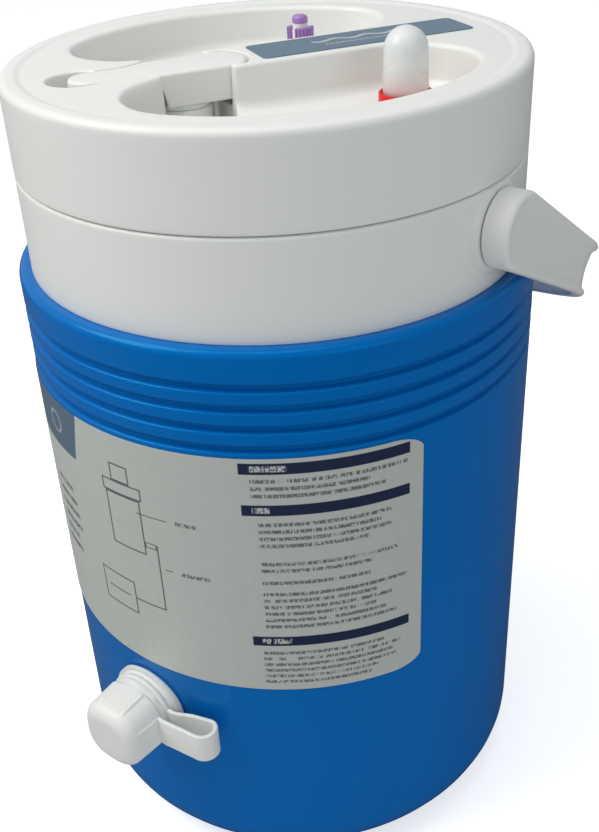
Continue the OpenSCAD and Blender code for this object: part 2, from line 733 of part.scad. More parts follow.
seal_h = 1.2;
disc_h = 1;
disc_z = shank_end - seal_h - disc_h - 0.2;
module relief_button() color([0.60, 0.40, 0.71]) on_lid() at_relief() {
    translate([0, 0, stem_top]) rotate_extrude() vessel_2d(button_r, 0, button_h, 0, 1.2);
    translate([0, 0, disc_z]) cylinder(r = rod_r, h = stem_top - disc_z + 0.5);
    translate([0, 0, disc_z]) cylinder(r = port_r - 0.3, h = disc_h);
}

module relief_spring() color([0.70, 0.71, 0.72]) on_lid() at_relief()
    translate([0, 0, stem_top - spring_room + 0.1]) coil_spring(1.6, 0.25, 5, spring_room - 0.2);

module relief_seal() color([0.20, 0.20, 0.21]) on_lid() at_relief()
    translate([0, 0, disc_z + disc_h]) tube(rod_r, port_r - 0.3, seal_h);

module relief_nut() color(plastic_white) on_lid() at_relief() translate([0, 0, liner_z - nut_h - 0.1])
    hex_nut(nut_r, port_r + run_gap, nut_h);

// ---- Outlet ----

gasket_t = 0.8;
flange_face = body_r + 3.4;
flange_step = 1.4;
nozzle_end = flange_face + nozzle_len;
chamber_r = 5;
seat_hole = 2.6;
seat_face = nozzle_end - 3;
inner_face = tub_r;
inner_gasket_t = 2;
nut_face = sqrt(pow(inner_face, 2) - pow(13, 2)) - inner_gasket_t;
outlet_nut_h = 6;
shank_in = nut_face - outlet_nut_h - 1;

module outlet_fitting() color(plastic_white) difference() {
    union() {
        difference() {
            union() {
                outward(outlet_z, body_r - 4) cylinder(r = flange_r, h = flange_face - flange_step - body_r + 4);
                outward(outlet_z, body_r - 4) cylinder(r = flange_r - 1.6, h = flange_face - body_r + 4);
            }
            cylinder(r = body_r + gasket_t, h = shoulder_z, $fn = 180);
        }
        outward(outlet_z, shank_in) cylinder(r = shank_r, h = flange_face - shank_in);
        outward(outlet_z, flange_face - 1) cylinder(r = nozzle_r, h = nozzle_len + 1);
        outward(outlet_z, nozzle_end - 5) cylinder(r = nozzle_r + 0.4, h = 2);
    }
    outward(outlet_z, shank_in - 1) cylinder(r = chamber_r, h = seat_face - shank_in + 1);
    outward(outlet_z, seat_face - 1) cylinder(r = seat_hole, h = 6);
}

module outlet_gasket() color([0.55, 0.57, 0.58]) difference() {
    intersection() {
        outward(outlet_z, body_r - 6) cylinder(r = flange_r - 1, h = 10);
        ring(body_r, body_r + gasket_t, 0, shoulder_z);
    }
    outward(outlet_z, body_r - 7) cylinder(r = shank_r + 0.1, h = 12);
}

inner_gasket_r = shank_r + 4;
module outlet_inner_gasket() color([0.55, 0.57, 0.58]) difference() {
    intersection() {
        outward(outlet_z, nut_face) cylinder(r = inner_gasket_r, h = 10);
        cylinder(r = inner_face, h = shoulder_z, $fn = 720);
    }
    outward(outlet_z, nut_face - 1) cylinder(r = shank_r + 0.1, h = 12);
}

outlet_nut_r = inner_gasket_r + 1;
module outlet_nut() color(plastic_white) outward(outlet_z, nut_face - outlet_nut_h)
    hex_nut(outlet_nut_r, shank_r + run_gap, outlet_nut_h);

poppet_face = seat_face - 1.2;
poppet_disc = 2;
module outlet_poppet() color([0.30, 0.31, 0.33]) {
    outward(outlet_z, poppet_face - poppet_disc) cylinder(r = chamber_r - move_gap, h = poppet_disc);
    outward(outlet_z, poppet_face - 0.5) cylinder(r = seat_hole - move_gap, h = nozzle_end - 0.6 - poppet_face);
    outward(outlet_z, poppet_face - poppet_disc - 5) cylinder(r = 1.8, h = 5.5);
}

module outlet_o_ring() color([0.12, 0.12, 0.13]) outward(outlet_z, seat_face - 0.6)
    rotate_extrude() translate([seat_hole + 0.75, 0]) circle(0.55);

seat_t = 2;
spring_seat_face = shank_in + 3 + seat_t;
module outlet_spring() color([0.70, 0.71, 0.72]) outward(outlet_z, spring_seat_face + 0.1)
    coil_spring(3.2, 0.4, 8, poppet_face - poppet_disc - spring_seat_face - 0.2);

module outlet_spring_seat() color(plastic_white) outward(outlet_z, spring_seat_face - seat_t)
    tube(2.2, chamber_r - run_gap, seat_t);

// ---- Outlet cap and its strap ----

cap_base = flange_face + 2.2;
cap_end = cap_base + cap_len;
module rounded_square(w, r) {
    for (x = [-1, 1], y = [-1, 1]) translate([x * (w / 2 - r), y * (w / 2 - r)]) circle(r);
    square([w, w - 2 * r], center = true);
    square([w - 2 * r, w], center = true);
}

cap_t = 2;
rib_t = 0.5;
module outlet_cap() color(plastic_white) outward(outlet_z, cap_base) difference() {
    intersection() {
        union() {
            linear_extrude(cap_len) rounded_square(cap_w - 2 * rib_t, 7.5);
            for (a = [0:90:270], side = [-1, 1]) rotate([0, 0, a])
                translate([cap_w / 2 - rib_t - 1, side * 5 - 0.5, 2.4]) cube([1 + rib_t, 1, cap_len - 6]);
            cylinder(r = cap_r - 0.4, h = 2);
        }
        rotate_extrude() vessel_2d(cap_r, 0, cap_len, 0, 3.4);
    }
    translate([0, 0, -1]) cylinder(r = nozzle_r + 2.6, h = 3.4);
    translate([0, 0, -1]) cylinder(r = nozzle_r + move_gap + 0.4, h = nozzle_end - cap_base + 1.6);
}

// Flat ring on the fitting, and a band that loops out and back to the cap
strap_ring_in = nozzle_r + 0.2;
strap_ring_out = 12.6;
strap_ring_t = 1.6;
loop_r = 3.4;
module cap_strap() color(plastic_white) {
    leg_x = cap_w / 2 + loop_out - loop_r;
    rear_y = strap_ring_t / 2 + 0.05;
    front_y = rear_y + 2 * loop_r;
    difference() {
        union() {
            outward(outlet_z, flange_face + 0.05) tube(strap_ring_in, strap_ring_out, strap_ring_t);
            translate([0, -flange_face, outlet_z - band_h / 2]) linear_extrude(band_h) {
                translate([9, -rear_y - band_t / 2]) square([leg_x - 9, band_t]);
                translate([cap_w / 2 + 0.1, -front_y - band_t / 2]) square([leg_x - cap_w / 2 - 0.1, band_t]);
                translate([leg_x, -(rear_y + front_y) / 2]) intersection() {
                    difference() { circle(loop_r + band_t / 2); circle(loop_r - band_t / 2); }
                    translate([0, -20]) square(40);
                }
            }
        }
        outward(outlet_z, flange_face - 1) cylinder(r = strap_ring_in, h = 4);
    }
}

outer_shell();
insulation_foam();
inner_tub();
collar();
front_label();
handle_bail();
pivot_pins();
lid_shell();
lid_liner();
lid_foam();
lid_gasket();
lid_label();
spout_lever();
lever_hinge_pin();
spout_stopper();
vent_base();
vent_cap();
vent_nut();
relief_body();
relief_sleeve();
relief_button();
relief_spring();
relief_seal();
relief_nut();
outlet_fitting();
outlet_gasket();
outlet_inner_gasket();
outlet_nut();
outlet_poppet();
outlet_o_ring();
outlet_spring();
outlet_spring_seat();
outlet_cap();
cap_strap();
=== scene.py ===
"""Looks of a gravity-fed hot and cold therapy jug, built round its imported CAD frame.

Laid out as an add-on: sizes and colours are properties, every piece or group is one operator,
and the panel in the sidebar lists them. Lengths are worked out in millimetres and stored in metres.
"""

import json

import bmesh
import bpy
import numpy as np
from mathutils import Matrix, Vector
from mathutils.geometry import delaunay_2d_cdt


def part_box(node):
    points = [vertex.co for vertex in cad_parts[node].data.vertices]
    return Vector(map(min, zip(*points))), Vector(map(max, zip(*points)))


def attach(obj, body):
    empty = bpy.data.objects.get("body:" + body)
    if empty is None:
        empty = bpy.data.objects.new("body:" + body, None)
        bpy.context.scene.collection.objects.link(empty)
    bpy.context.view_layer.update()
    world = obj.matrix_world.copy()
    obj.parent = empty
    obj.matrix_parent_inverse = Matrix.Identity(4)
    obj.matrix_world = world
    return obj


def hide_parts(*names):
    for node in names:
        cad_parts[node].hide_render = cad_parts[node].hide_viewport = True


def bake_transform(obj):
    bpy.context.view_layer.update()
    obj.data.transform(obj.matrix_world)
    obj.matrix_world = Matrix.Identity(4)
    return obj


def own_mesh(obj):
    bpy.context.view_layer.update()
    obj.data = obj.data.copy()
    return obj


bl_info = {
    "name": "Therapy Jug Looks",
    "version": (1, 0, 0),
    "blender": (4, 5, 0),
    "location": "3D View > Sidebar > Jug",
    "description": "Builds the visible surfaces, materials, light and camera of a cold therapy jug",
    "category": "Object",
}

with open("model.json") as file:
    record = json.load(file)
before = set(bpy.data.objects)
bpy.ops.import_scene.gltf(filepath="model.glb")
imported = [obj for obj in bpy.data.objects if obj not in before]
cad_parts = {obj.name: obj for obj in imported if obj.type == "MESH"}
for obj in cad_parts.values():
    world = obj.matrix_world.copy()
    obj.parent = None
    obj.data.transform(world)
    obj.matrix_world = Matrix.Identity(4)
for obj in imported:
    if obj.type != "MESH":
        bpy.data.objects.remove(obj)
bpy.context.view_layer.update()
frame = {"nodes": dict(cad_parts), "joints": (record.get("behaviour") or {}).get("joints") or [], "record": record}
JOINTS = {joint["name"]: joint for joint in frame["joints"]}


# ---- Frame values ----

def edge(node, end, axis):
    """One side of a CAD node's box in millimetres: end 0 is its low side and 1 its high side."""
    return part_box(node)[end][axis] * 1000


def place(joint):
    """A joint's place in millimetres."""
    return np.array(JOINTS[joint]["pos_m"], float) * 1000


def linear(red, green, blue):
    """A colour given in screen values from 0 to 255, as linear light."""
    c = np.array([red, green, blue]) / 255
    return tuple(np.where(c <= 0.04045, c / 12.92, ((c + 0.055) / 1.055) ** 2.4))


# ---- Properties ----

def length(label, text, value):
    """A size property whose default is given in millimetres."""
    return bpy.props.FloatProperty(name=label, description=text, default=value / 1000, min=0, precision=5,
                                   unit="LENGTH")


def colour(label, text, *rgb):
    """A colour property whose default is given in screen values."""
    return bpy.props.FloatVectorProperty(name=label, description=text, subtype="COLOR", size=3, min=0, max=1,
                                         default=linear(*rgb))


class JugSizes(bpy.types.PropertyGroup):
    """Sizes of the visible pieces."""
    body_radius: length("Body radius", "Outer radius of the blue shell", edge("outer_shell", 1, 0))
    shoulder: length("Shoulder", "Height of the blue shell", edge("outer_shell", 1, 2))
    shell_wall: length("Shell wall", "Wall of the blue shell", 2.4)
    base_round: length("Base round", "Radius of the rounded base", 30)
    recess_inner: length("Recess inner", "Inner radius of the recess under the base", 18)
    recess_outer: length("Recess outer", "Outer radius of the recess under the base", 48)
    recess_depth: length("Recess depth", "Depth of the recess under the base", 2)
    shell_mouth: length("Shell mouth", "Radius of the shell's open top", 84.2)
    groove_drop: length("Groove drop", "First groove's depth below the shoulder", 12.1)
    groove_pitch: length("Groove pitch", "Distance from groove to groove", 7.05)
    groove_width: length("Groove width", "Width of a groove", 3.2)
    groove_depth: length("Groove depth", "Depth of a groove", 1.9)
    collar_radius: length("Collar radius", "Outer radius of the white collar", edge("collar", 1, 1))
    collar_wall: length("Collar wall", "Wall of the collar", 2.5)
    boss_reach: length("Boss reach", "Flat face of the handle's boss", edge("collar", 1, 0))
    boss_radius: length("Boss radius", "Radius of the boss's flat face", 13.2)
    boss_fillet: length("Boss fillet", "Width of the fillet round the boss", 1.6)
    seam: length("Seam", "Height of the seam under the lid", place("lid_turn")[2])
    neck_radius: length("Neck radius", "Outer radius of the neck", 80)
    neck_bore: length("Neck bore", "Inner radius of the neck", 77.3)
    neck_top: length("Neck top", "Height of the neck's rim", edge("collar", 1, 2))
    lug_out: length("Lug reach", "How far a thread lug stands out", 2.3)
    lug_lead: length("Thread lead", "Rise of the thread in one turn", 14)
    pivot: length("Pivot", "Height of the handle's pivot", place("handle_swing")[2])
    hub_face: length("Hub face", "Outer face of the hub from the axis", edge("handle_bail", 1, 0))
    hub_radius: length("Hub radius", "Radius of the round hub", 12.3)
    hub_depth: length("Hub depth", "Thickness of the hub", 8.7)
    arm: length("Arm", "Straight part of each arm", 57)
    grip: length("Grip", "Outer reach of the grip from the pivot", 116.6)
    strap_half: length("Strap half width", "Half width of the strap at the grip", 9.7)
    strap: length("Strap", "Thickness of the strap", 4.6)
    channel: length("Channel", "Depth of the strap's channel", 2.1)
    bead: length("Bead", "Radius of the strap's edge beads", 1.7)
    lid_top: length("Lid top", "Height of the lid's rim", edge("lid_shell", 1, 2))
    lid_step: length("Lid step", "Depth of the step inside the rim", 0.5)
    step_radius: length("Step radius", "Radius of that step", 79)
    lid_round: length("Lid round", "Radius of the lid's rounded rim", 5.2)
    lid_wall: length("Lid wall", "Thickness of the lid's panel and skirt", 2.5)
    panel_radius: length("Panel radius", "Radius at which the lid's panel meets its rim", 78.2)
    under_radius: length("Under radius", "Radius of the relief under the panel", 74.9)
    pocket_radius: length("Pocket radius", "Outer radius of the two pockets", 70.3)
    pocket_round: length("Pocket round", "Corner radius of the pockets", 22)
    pocket_depth: length("Pocket depth", "Depth of the pockets", 13.5)
    bridge: length("Bridge", "Half width of the bridge", 12.7)
    spout: length("Spout", "Spout's distance from the lid's centre", 29.4)
    spout_hole: length("Spout hole", "Radius of the relief's hole round the spout", 8.4)
    tube_bore: length("Tube bore", "Inner radius of the spout's tube", 6.5)
    tube_radius: length("Tube radius", "Outer radius of the spout's tube", 9.5)
    tube_low: length("Tube low", "Height of the tube's lower end", 248)
    tube_high: length("Tube high", "Height of the tube's upper end", 277.1)
    block_depth: length("Block depth", "Depth of the lever's block over the spout", 10.7)
    tongue_depth: length("Tongue depth", "Depth of the lever's tongue", 3.5)
    vent_radius: length("Vent radius", "Radius of the vent's cap", 7.35)
    cap_width: length("Cap width", "Width of the outlet's cap", 25.6)
    cap_length: length("Cap length", "Length of the outlet's cap", 18)
    label_radius: length("Label radius", "Outer radius of the front label", 90.35)
    label_low: length("Label low", "Height of the front label's lower edge", edge("front_label", 0, 2))
    label_high: length("Label high", "Height of the front label's upper edge", edge("front_label", 1, 2))
    label_round: length("Label round", "Corner radius of the front label", 5)


class JugColours(bpy.types.PropertyGroup):
    """Colours of the materials."""
    shell: colour("Shell", "Blue shell", 0, 103, 182)
    white: colour("White", "White mouldings", 231, 231, 226)
    tub: colour("Tub", "Inner tub and liner", 226, 228, 226)
    foam: colour("Foam", "Insulation", 240, 226, 180)
    film: colour("Film", "Silver label film", 198, 201, 194)
    navy: colour("Navy", "Bars on the label", 27, 40, 75)
    ink: colour("Ink", "Small marks on the label", 74, 79, 76)
    slate: colour("Slate", "Slate panel and lid label", 97, 118, 135)
    purple: colour("Purple", "Push button and its sleeve", 165, 122, 190)
    red: colour("Red", "Vent's base and nut", 222, 26, 22)
    milk: colour("Milk", "Vent's translucent cap", 226, 228, 226)
    steel: colour("Steel", "Pins", 190, 193, 198)
    wire: colour("Wire", "Springs", 178, 181, 184)
    seal: colour("Seal", "Silicone seals", 224, 226, 224)
    rubber: colour("Rubber", "Black seals", 34, 34, 37)
    poppet: colour("Poppet", "Outlet's poppet", 84, 87, 92)


class Millimetres:
    """The size properties read in millimetres."""

    def __init__(self, scene):
        self.sizes = scene.jug_sizes

    def __getattr__(self, name):
        return getattr(self.sizes, name) * 1000


# ---- Outlines and surfaces ----

def rounded_path(corners, closed=True, steps=8):
    """Points of a path through corners (x, y, radius): each corner is an arc of that radius, tangent to both
    sides, cut down where a side is too short. An open path keeps its first and last corner as they are."""
    c = np.asarray(corners, float)
    p, radius = c[:, :2], c[:, 2]
    a, b = np.roll(p, 1, 0) - p, np.roll(p, -1, 0) - p
    la, lb = np.linalg.norm(a, axis=1), np.linalg.norm(b, axis=1)
    a, b = a / la[:, None], b / lb[:, None]
    half = np.arccos(np.clip((a * b).sum(1), -1, 1)) / 2
    reach = np.minimum(radius / np.maximum(np.tan(half), 1e-9), 0.49 * np.minimum(la, lb))
    if not closed:
        reach[[0, -1]] = 0
    turn = np.pi - 2 * half
    middle = a + b
    size = np.linalg.norm(middle, axis=1)
    flat = (size < 1e-7) | (reach == 0)
    middle = middle / np.where(flat, 1, size)[:, None]
    centre = p + np.where(flat, 0, reach / np.where(flat, 1, np.cos(half)))[:, None] * middle
    start, end = p + a * reach[:, None] - centre, p + b * reach[:, None] - centre
    s = np.linspace(0, 1, steps + 1)[None, :, None]
    t = np.where(flat, 1, turn)[:, None, None]
    arc = (np.sin((1 - s) * t) * start[:, None] + np.sin(s * t) * end[:, None]) / np.sin(t)
    arc = np.where(flat[:, None, None], start[:, None] * (1 - s) + end[:, None] * s, arc)
    path = (centre[:, None] + arc).reshape(-1, 2)
    gap = np.linalg.norm(path - np.roll(path, 1, 0), axis=1)
    keep = gap > 1e-6
    keep[0] = keep[0] or not closed
    return path[keep]


def densify(path, step, closed=True):
    """The same path with extra points, so that no side is longer than step."""
    ends = np.roll(path, -1, 0) if closed else path[1:]
    starts = path if closed else path[:-1]
    count = np.maximum(1, np.ceil(np.linalg.norm(ends - starts, axis=1) / step)).astype(int)
    index = np.repeat(np.arange(len(starts)), count)
    share = (np.arange(count.sum()) - np.repeat(np.cumsum(count) - count, count)) / count[index]
    points = starts[index] + (ends - starts)[index] * share[:, None]
    return points if closed else np.vstack([points, path[-1:]])


def grid(rows, columns, wrap_rows=False, wrap_columns=False):
    """Quads over a grid of rows x columns points, wrapped round in either direction."""
    i = np.arange(rows if wrap_rows else rows - 1)[:, None]
    j = np.arange(columns if wrap_columns else columns - 1)[None, :]
    k, m = (i + 1) % rows, (j + 1) % columns
    return np.stack([i * columns + j, i * columns + m, k * columns + m, k * columns + j], -1).reshape(-1, 4)


def lathe(profile, columns=160, swell=None, wrap=True):
    """Points and quads of a profile (radius, height) turned round Z: x = r cos(turn), y = r sin(turn). Where
    the surface isn't round, swell(turn, radius, height) gives the radius at each point."""
    turn = np.linspace(0, 2 * np.pi, columns, endpoint=False)[None, :]
    r = np.repeat(profile[:, :1], columns, 1)
    z = np.repeat(profile[:, 1:], columns, 1)
    if swell:
        r = swell(turn, r, z)
    points = np.stack([r * np.cos(turn), r * np.sin(turn), z], -1).reshape(-1, 3)
    return points, grid(len(profile), columns, wrap, True)


def at(points, x, y, z=0):
    """Points moved by x, y, z."""
    return points + np.array([x, y, z])


def outward(points, start, z):
    """Points drawn along +Z laid down along -Y, starting at a distance from the jug's axis at height z."""
    return np.stack([points[:, 0], -start - points[:, 2], z + points[:, 1]], -1)


def rings(points):
    """Points and quads of a stack of closed rings, given as an array of rows x columns x 3."""
    return points.reshape(-1, 3), grid(*points.shape[:2], False, True)


def join(*parts):
    """Several (points, faces) pairs as one."""
    points, faces, base = [], [], 0
    for p, f in parts:
        points.append(p)
        faces += (np.asarray(f) + base).tolist()
        base += len(p)
    return np.vstack(points), faces


def build(name, parts, slot, body=None, replaced=(), sharp=38):
    """One closed mesh object from (points, faces) pairs in millimetres, in its slot's material: doubles
    merge, every closed shell faces outward, and edges sharper than the angle stay crisp. It rides on a body
    of the frame, or on none."""
    points, faces = join(*parts)
    mesh = bpy.data.meshes.new(name)
    mesh.from_pydata((points * 0.001).tolist(), [], faces)
    made = bmesh.new()
    made.from_mesh(mesh)
    bmesh.ops.remove_doubles(made, verts=made.verts, dist=2e-6)
    bmesh.ops.recalc_face_normals(made, faces=made.faces)
    made.to_mesh(mesh)
    made.free()
    if not mesh.polygons:
        raise RuntimeError(f"{name} has no faces")
    mesh.shade_smooth()
    mesh.set_sharp_from_angle(angle=np.radians(sharp))
    mesh.materials.append(coat(slot))
    obj = bpy.data.objects.new(name, mesh)
    bpy.context.scene.collection.objects.link(obj)
    if body:
        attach(obj, body)
    if replaced:
        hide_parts(*replaced)
    return obj


def contour(field, level, step, reach):
    """Points and edges of the line where a field over a plane has one value: crossings on a square grid,
    then two Newton steps of (value - level) times the slope over the slope squared."""
    n = int(2 * reach / step) + 1
    axis = np.linspace(-reach, reach, n)
    u, v = np.meshgrid(axis, axis, indexing="ij")
    f = field(u, v) - level
    low = f < 0
    a, b = low[1:] != low[:-1], low[:, 1:] != low[:, :-1]
    h = axis[1] - axis[0]
    ta, tb = f[:-1] / np.where(a, f[:-1] - f[1:], 1), f[:, :-1] / np.where(b, f[:, :-1] - f[:, 1:], 1)
    ida = np.arange(n * n).reshape(n, n)
    idb = ida + n * n
    place_a = np.stack([u[:-1] + ta * h, v[:-1]], -1)[a]
    place_b = np.stack([u[:, :-1], v[:, :-1] + tb * h], -1)[b]
    names = np.concatenate([ida[:-1][a], idb[:, :-1][b]])
    p = np.vstack([place_a, place_b])
    cell = np.stack([a[:, :-1], a[:, 1:], b[:-1], b[1:]], -1)
    ids = np.stack([ida[:-1, :-1], ida[:-1, 1:], idb[:-1, :-1], idb[1:, :-1]], -1)
    two = cell.sum(-1) == 2
    pairs = ids[two][cell[two]].reshape(-1, 2)
    order = np.argsort(names)
    pairs = order[np.searchsorted(names[order], pairs)]
    d = 1e-3
    for _ in range(2):
        x, y = p[:, 0], p[:, 1]
        g = np.stack([field(x + d, y) - field(x - d, y), field(x, y + d) - field(x, y - d)], -1) / (2 * d)
        p = p - ((field(x, y) - level) / np.maximum((g * g).sum(1), 0.2))[:, None] * g
    return p, pairs


def honeycomb(step, reach):
    """Points of an even triangular grid within a circle."""
    n = int(reach / step) + 2
    i, j = np.meshgrid(np.arange(-n, n + 1), np.arange(-n, n + 1))
    p = np.stack([(i + 0.5 * (j % 2)) * step, j * step * 0.866], -1).reshape(-1, 2)
    return p[np.hypot(p[:, 0], p[:, 1]) < reach]


def circle(radius, count, u=0.0, v=0.0):
    """A circle's points and closing edges."""
    turn = np.linspace(0, 2 * np.pi, count, endpoint=False)
    index = np.arange(count)
    return np.stack([u + radius * np.cos(turn), v + radius * np.sin(turn)], -1), np.stack(
        [index, (index + 1) % count], -1)


def triangulate(lines, loose):
    """Triangles of a plane region through all the given lines (points, edges) and loose points."""
    points, edges, base = [loose], [], len(loose)
    for p, e in lines:
        points.append(p)
        edges.append(e + base)
        base += len(p)
    made = delaunay_2d_cdt(np.vstack(points).tolist(), np.vstack(edges).tolist(), [], 0, 1e-5, False)
    return np.array([tuple(q) for q in made[0]]), np.array(made[2], int)


def within(points, faces, outline):
    """The triangles whose middle is inside an outline: the count of crossings to one side is odd."""
    middle = points[faces].mean(1)[:, None]
    a, b = outline[None], np.roll(outline, -1, 0)[None]
    spans = (a[..., 1] > middle[..., 1]) != (b[..., 1] > middle[..., 1])
    rise = np.where(spans, b[..., 1] - a[..., 1], 1)
    cross = a[..., 0] + (middle[..., 1] - a[..., 1]) / rise * (b[..., 0] - a[..., 0])
    return faces[(spans & (middle[..., 0] < cross)).sum(1) % 2 == 1]


# ---- Lid's relief ----

def pit(d, depth, lip, foot, draft=0.35):
    """Depth of a recess at signed distance d from its outline, negative inside: a quarter-round lip outside
    the outline, a wall that leans in by draft, then a quarter-round foot down to the floor."""
    rim = lip - np.clip(d, 0, lip)
    top = lip - np.sqrt(np.maximum(lip * lip - rim * rim, 0))
    wall = np.clip(-d / draft, 0, 1) * (depth - lip - foot)
    e = np.clip((-d - draft) / foot, 0, 1)
    return top + wall + foot * np.sqrt(np.maximum(1 - (1 - e) ** 2, 0))


def steps_of(lip, foot, draft=0.35):
    """Distances at which a recess's lip and foot get a row of points."""
    share = np.array([1, 0.72, 0.46, 0.25, 0.1, 0.02])
    return np.concatenate([lip * share, [0, -draft], -draft - foot * share[::-1]])


def blend_min(a, b, k):
    """Smaller of two distances, rounded over a width k where they are close."""
    h = np.clip(0.5 + 0.5 * (b - a) / k, 0, 1)
    return b + (a - b) * h - k * h * (1 - h)


class LidPlan:
    """Signed distances of the lid's recesses in the lid's own plane, in millimetres from its centre. The
    bridge lies along the first axis, u, with the spout and its lever on the negative side. A plan that is
    grown gives the underside, one wall further out."""

    # Strip that joins the pockets under the lever, and the bay of the hinge block with the ear beside it
    strip, strip_half = (-38.4, -15.5), 22.0
    bay_centre, bay_radius, bay_half, bay_start = -20.8, 14.3, 9.9, -28.0
    ear_centre, ear_half, ear_round = (-13.2, 12.0), (3.4, 2.6), 0.7
    # Widths over which the strip, the ear and the bay run into the pockets
    strip_soft, ear_soft, bay_soft = 2.5, 0.8, 0.6
    # Seat of the lever's tongue, which widens over the flare to its block
    tip_centre, tongue_half, block_half = -58.2, 6.8, 9.5
    flare, seat_end, seat_gap, seat_depth = (-46.0, -39.0), -35.0, 0.25, 4.0
    # Finger notch, and the deep well with its slanted edge
    notch_centre, notch_radius, notch_depth = -62.0, 9.6, 7.0
    well_edge, well_slant, well_gap = 34.0, 7.8, 0.13
    # Pockets' lip: narrow on the bridge and wider past it
    lip_narrow, lip_wide, lip_start, lip_run = 0.5, 1.8, 11.0, 3.0
    # Underside: how far its walls stand off, and how much less deep its seat and notch are
    side_wall, floor_gain = 2.2, 0.3

    def __init__(self, mm, grow=0.0):
        self.mm, self.grow, self.spot = mm, grow, -mm.spout

    def pocket(self, u, v):
        """Distance to a pocket: the core segment of a smaller circle, grown by the corner radius."""
        m = self.mm
        r, chord = m.pocket_radius - m.pocket_round, m.bridge + m.pocket_round
        end = np.sqrt(r * r - chord * chord)
        v = -np.abs(v)
        a, b = v + chord, np.hypot(u, v) - r
        corner = np.hypot(np.abs(u) - end, a)
        out = np.where((a >= 0) & (np.abs(u) <= end), a,
                       np.where((b >= 0) & (np.abs(u) * chord <= -v * end), b, corner))
        return np.where((a < 0) & (b < 0), np.maximum(a, b), out) - m.pocket_round - self.grow

    def tongue(self, u, v):
        """Distance to the tongue's seat: a strip that widens to the lever's block, with a round tip."""
        half = np.interp(u, self.flare, [self.tongue_half, self.block_half])
        tip = np.hypot(u - self.tip_centre, v) - self.tongue_half
        side = np.where(u < self.tip_centre, tip, np.abs(v) - half)
        return np.maximum(side, u - self.seat_end) - self.seat_gap - self.grow

    def notch(self, u, v):
        """Distance to the round finger notch."""
        return np.hypot(u - self.notch_centre, v) - self.notch_radius - self.grow

    def open_part(self, u, v):
        """Distance to everything at the pockets' level: both pockets, the strip under the lever and the
        round-ended bay of its hinge block, less the small ear beside the hinge."""
        left, right = self.strip
        strip = np.maximum(np.abs(u - (left + right) / 2) - (right - left) / 2,
                           np.abs(v) - self.strip_half) - self.grow
        end = np.hypot(u - self.bay_centre, v) - self.bay_radius
        bay = np.maximum(np.maximum(np.abs(v) - self.bay_half, end), self.bay_start - u) - self.grow
        a = np.maximum(np.abs(u - self.ear_centre[0]) - self.ear_half[0], 0)
        b = np.maximum(np.abs(v - self.ear_centre[1]) - self.ear_half[1], 0)
        ear = np.hypot(a, b) - self.ear_round + self.grow
        whole = blend_min(self.pocket(u, v), strip, self.strip_soft)
        whole = -blend_min(-whole, ear, self.ear_soft)
        return blend_min(whole, bay, self.bay_soft)

    def well(self, u, v):
        """Distance to the deep well: three straight edges and one slanted edge."""
        bridge, right = self.mm.bridge, self.strip[1]
        run = self.well_edge - bridge
        slanted = ((u - right) * run - (v + bridge) * self.well_slant) / np.hypot(self.well_slant, run)
        sides = np.maximum(-self.well_edge - v, v - bridge)
        return np.maximum(sides, np.maximum(slanted, u - right + self.well_gap)) - self.grow

    def depth(self, u, v):
        """Depth below the lid's panel. The well doubles the pockets' wall, so a wall that both share runs on
        down without a ledge: depth = pocket * (1 + well / pocket depth)."""
        deep = self.mm.pocket_depth
        if self.grow:
            a = pit(self.open_part(u, v), deep, 0.3, 0.5)
            b = pit(self.well(u, v), deep, 0.3, 0.5)
            c = pit(self.tongue(u, v), self.seat_depth - self.floor_gain, 0.25, 0.4)
            d = pit(self.notch(u, v), self.notch_depth - self.floor_gain, 0.25, 0.4)
        else:
            past = np.clip((np.abs(v) - self.lip_start) / self.lip_run, 0, 1)
            lip = self.lip_narrow + (self.lip_wide - self.lip_narrow) * past
            a = pit(self.open_part(u, v), deep, lip, 3.2)
            b = pit(self.well(u, v), deep, 0.8, 2.2)
            c = pit(self.tongue(u, v), self.seat_depth, 0.3, 0.4)
            d = pit(self.notch(u, v), self.notch_depth, 0.9, 1.8)
        return np.maximum(np.maximum(a * (1 + b / deep), c), d)

    def rows(self):
        """Each recess's distance, with the distances at which it gets a row of points."""
        fields = self.open_part, self.well, self.tongue, self.notch
        if self.grow:
            rounds = (0.3, 0.5), (0.25, 0.4), (0.25, 0.4), (0.25, 0.4)
        else:
            rounds = (self.lip_wide, 3.2), (0.8, 2.2), (0.3, 0.4), (0.9, 1.8)
        return [(field, steps_of(*pair)) for field, pair in zip(fields, rounds)]

    def hole(self, count=48):
        """The round hole in the relief, over the spout."""
        return circle(self.mm.spout_hole, count, self.spot)

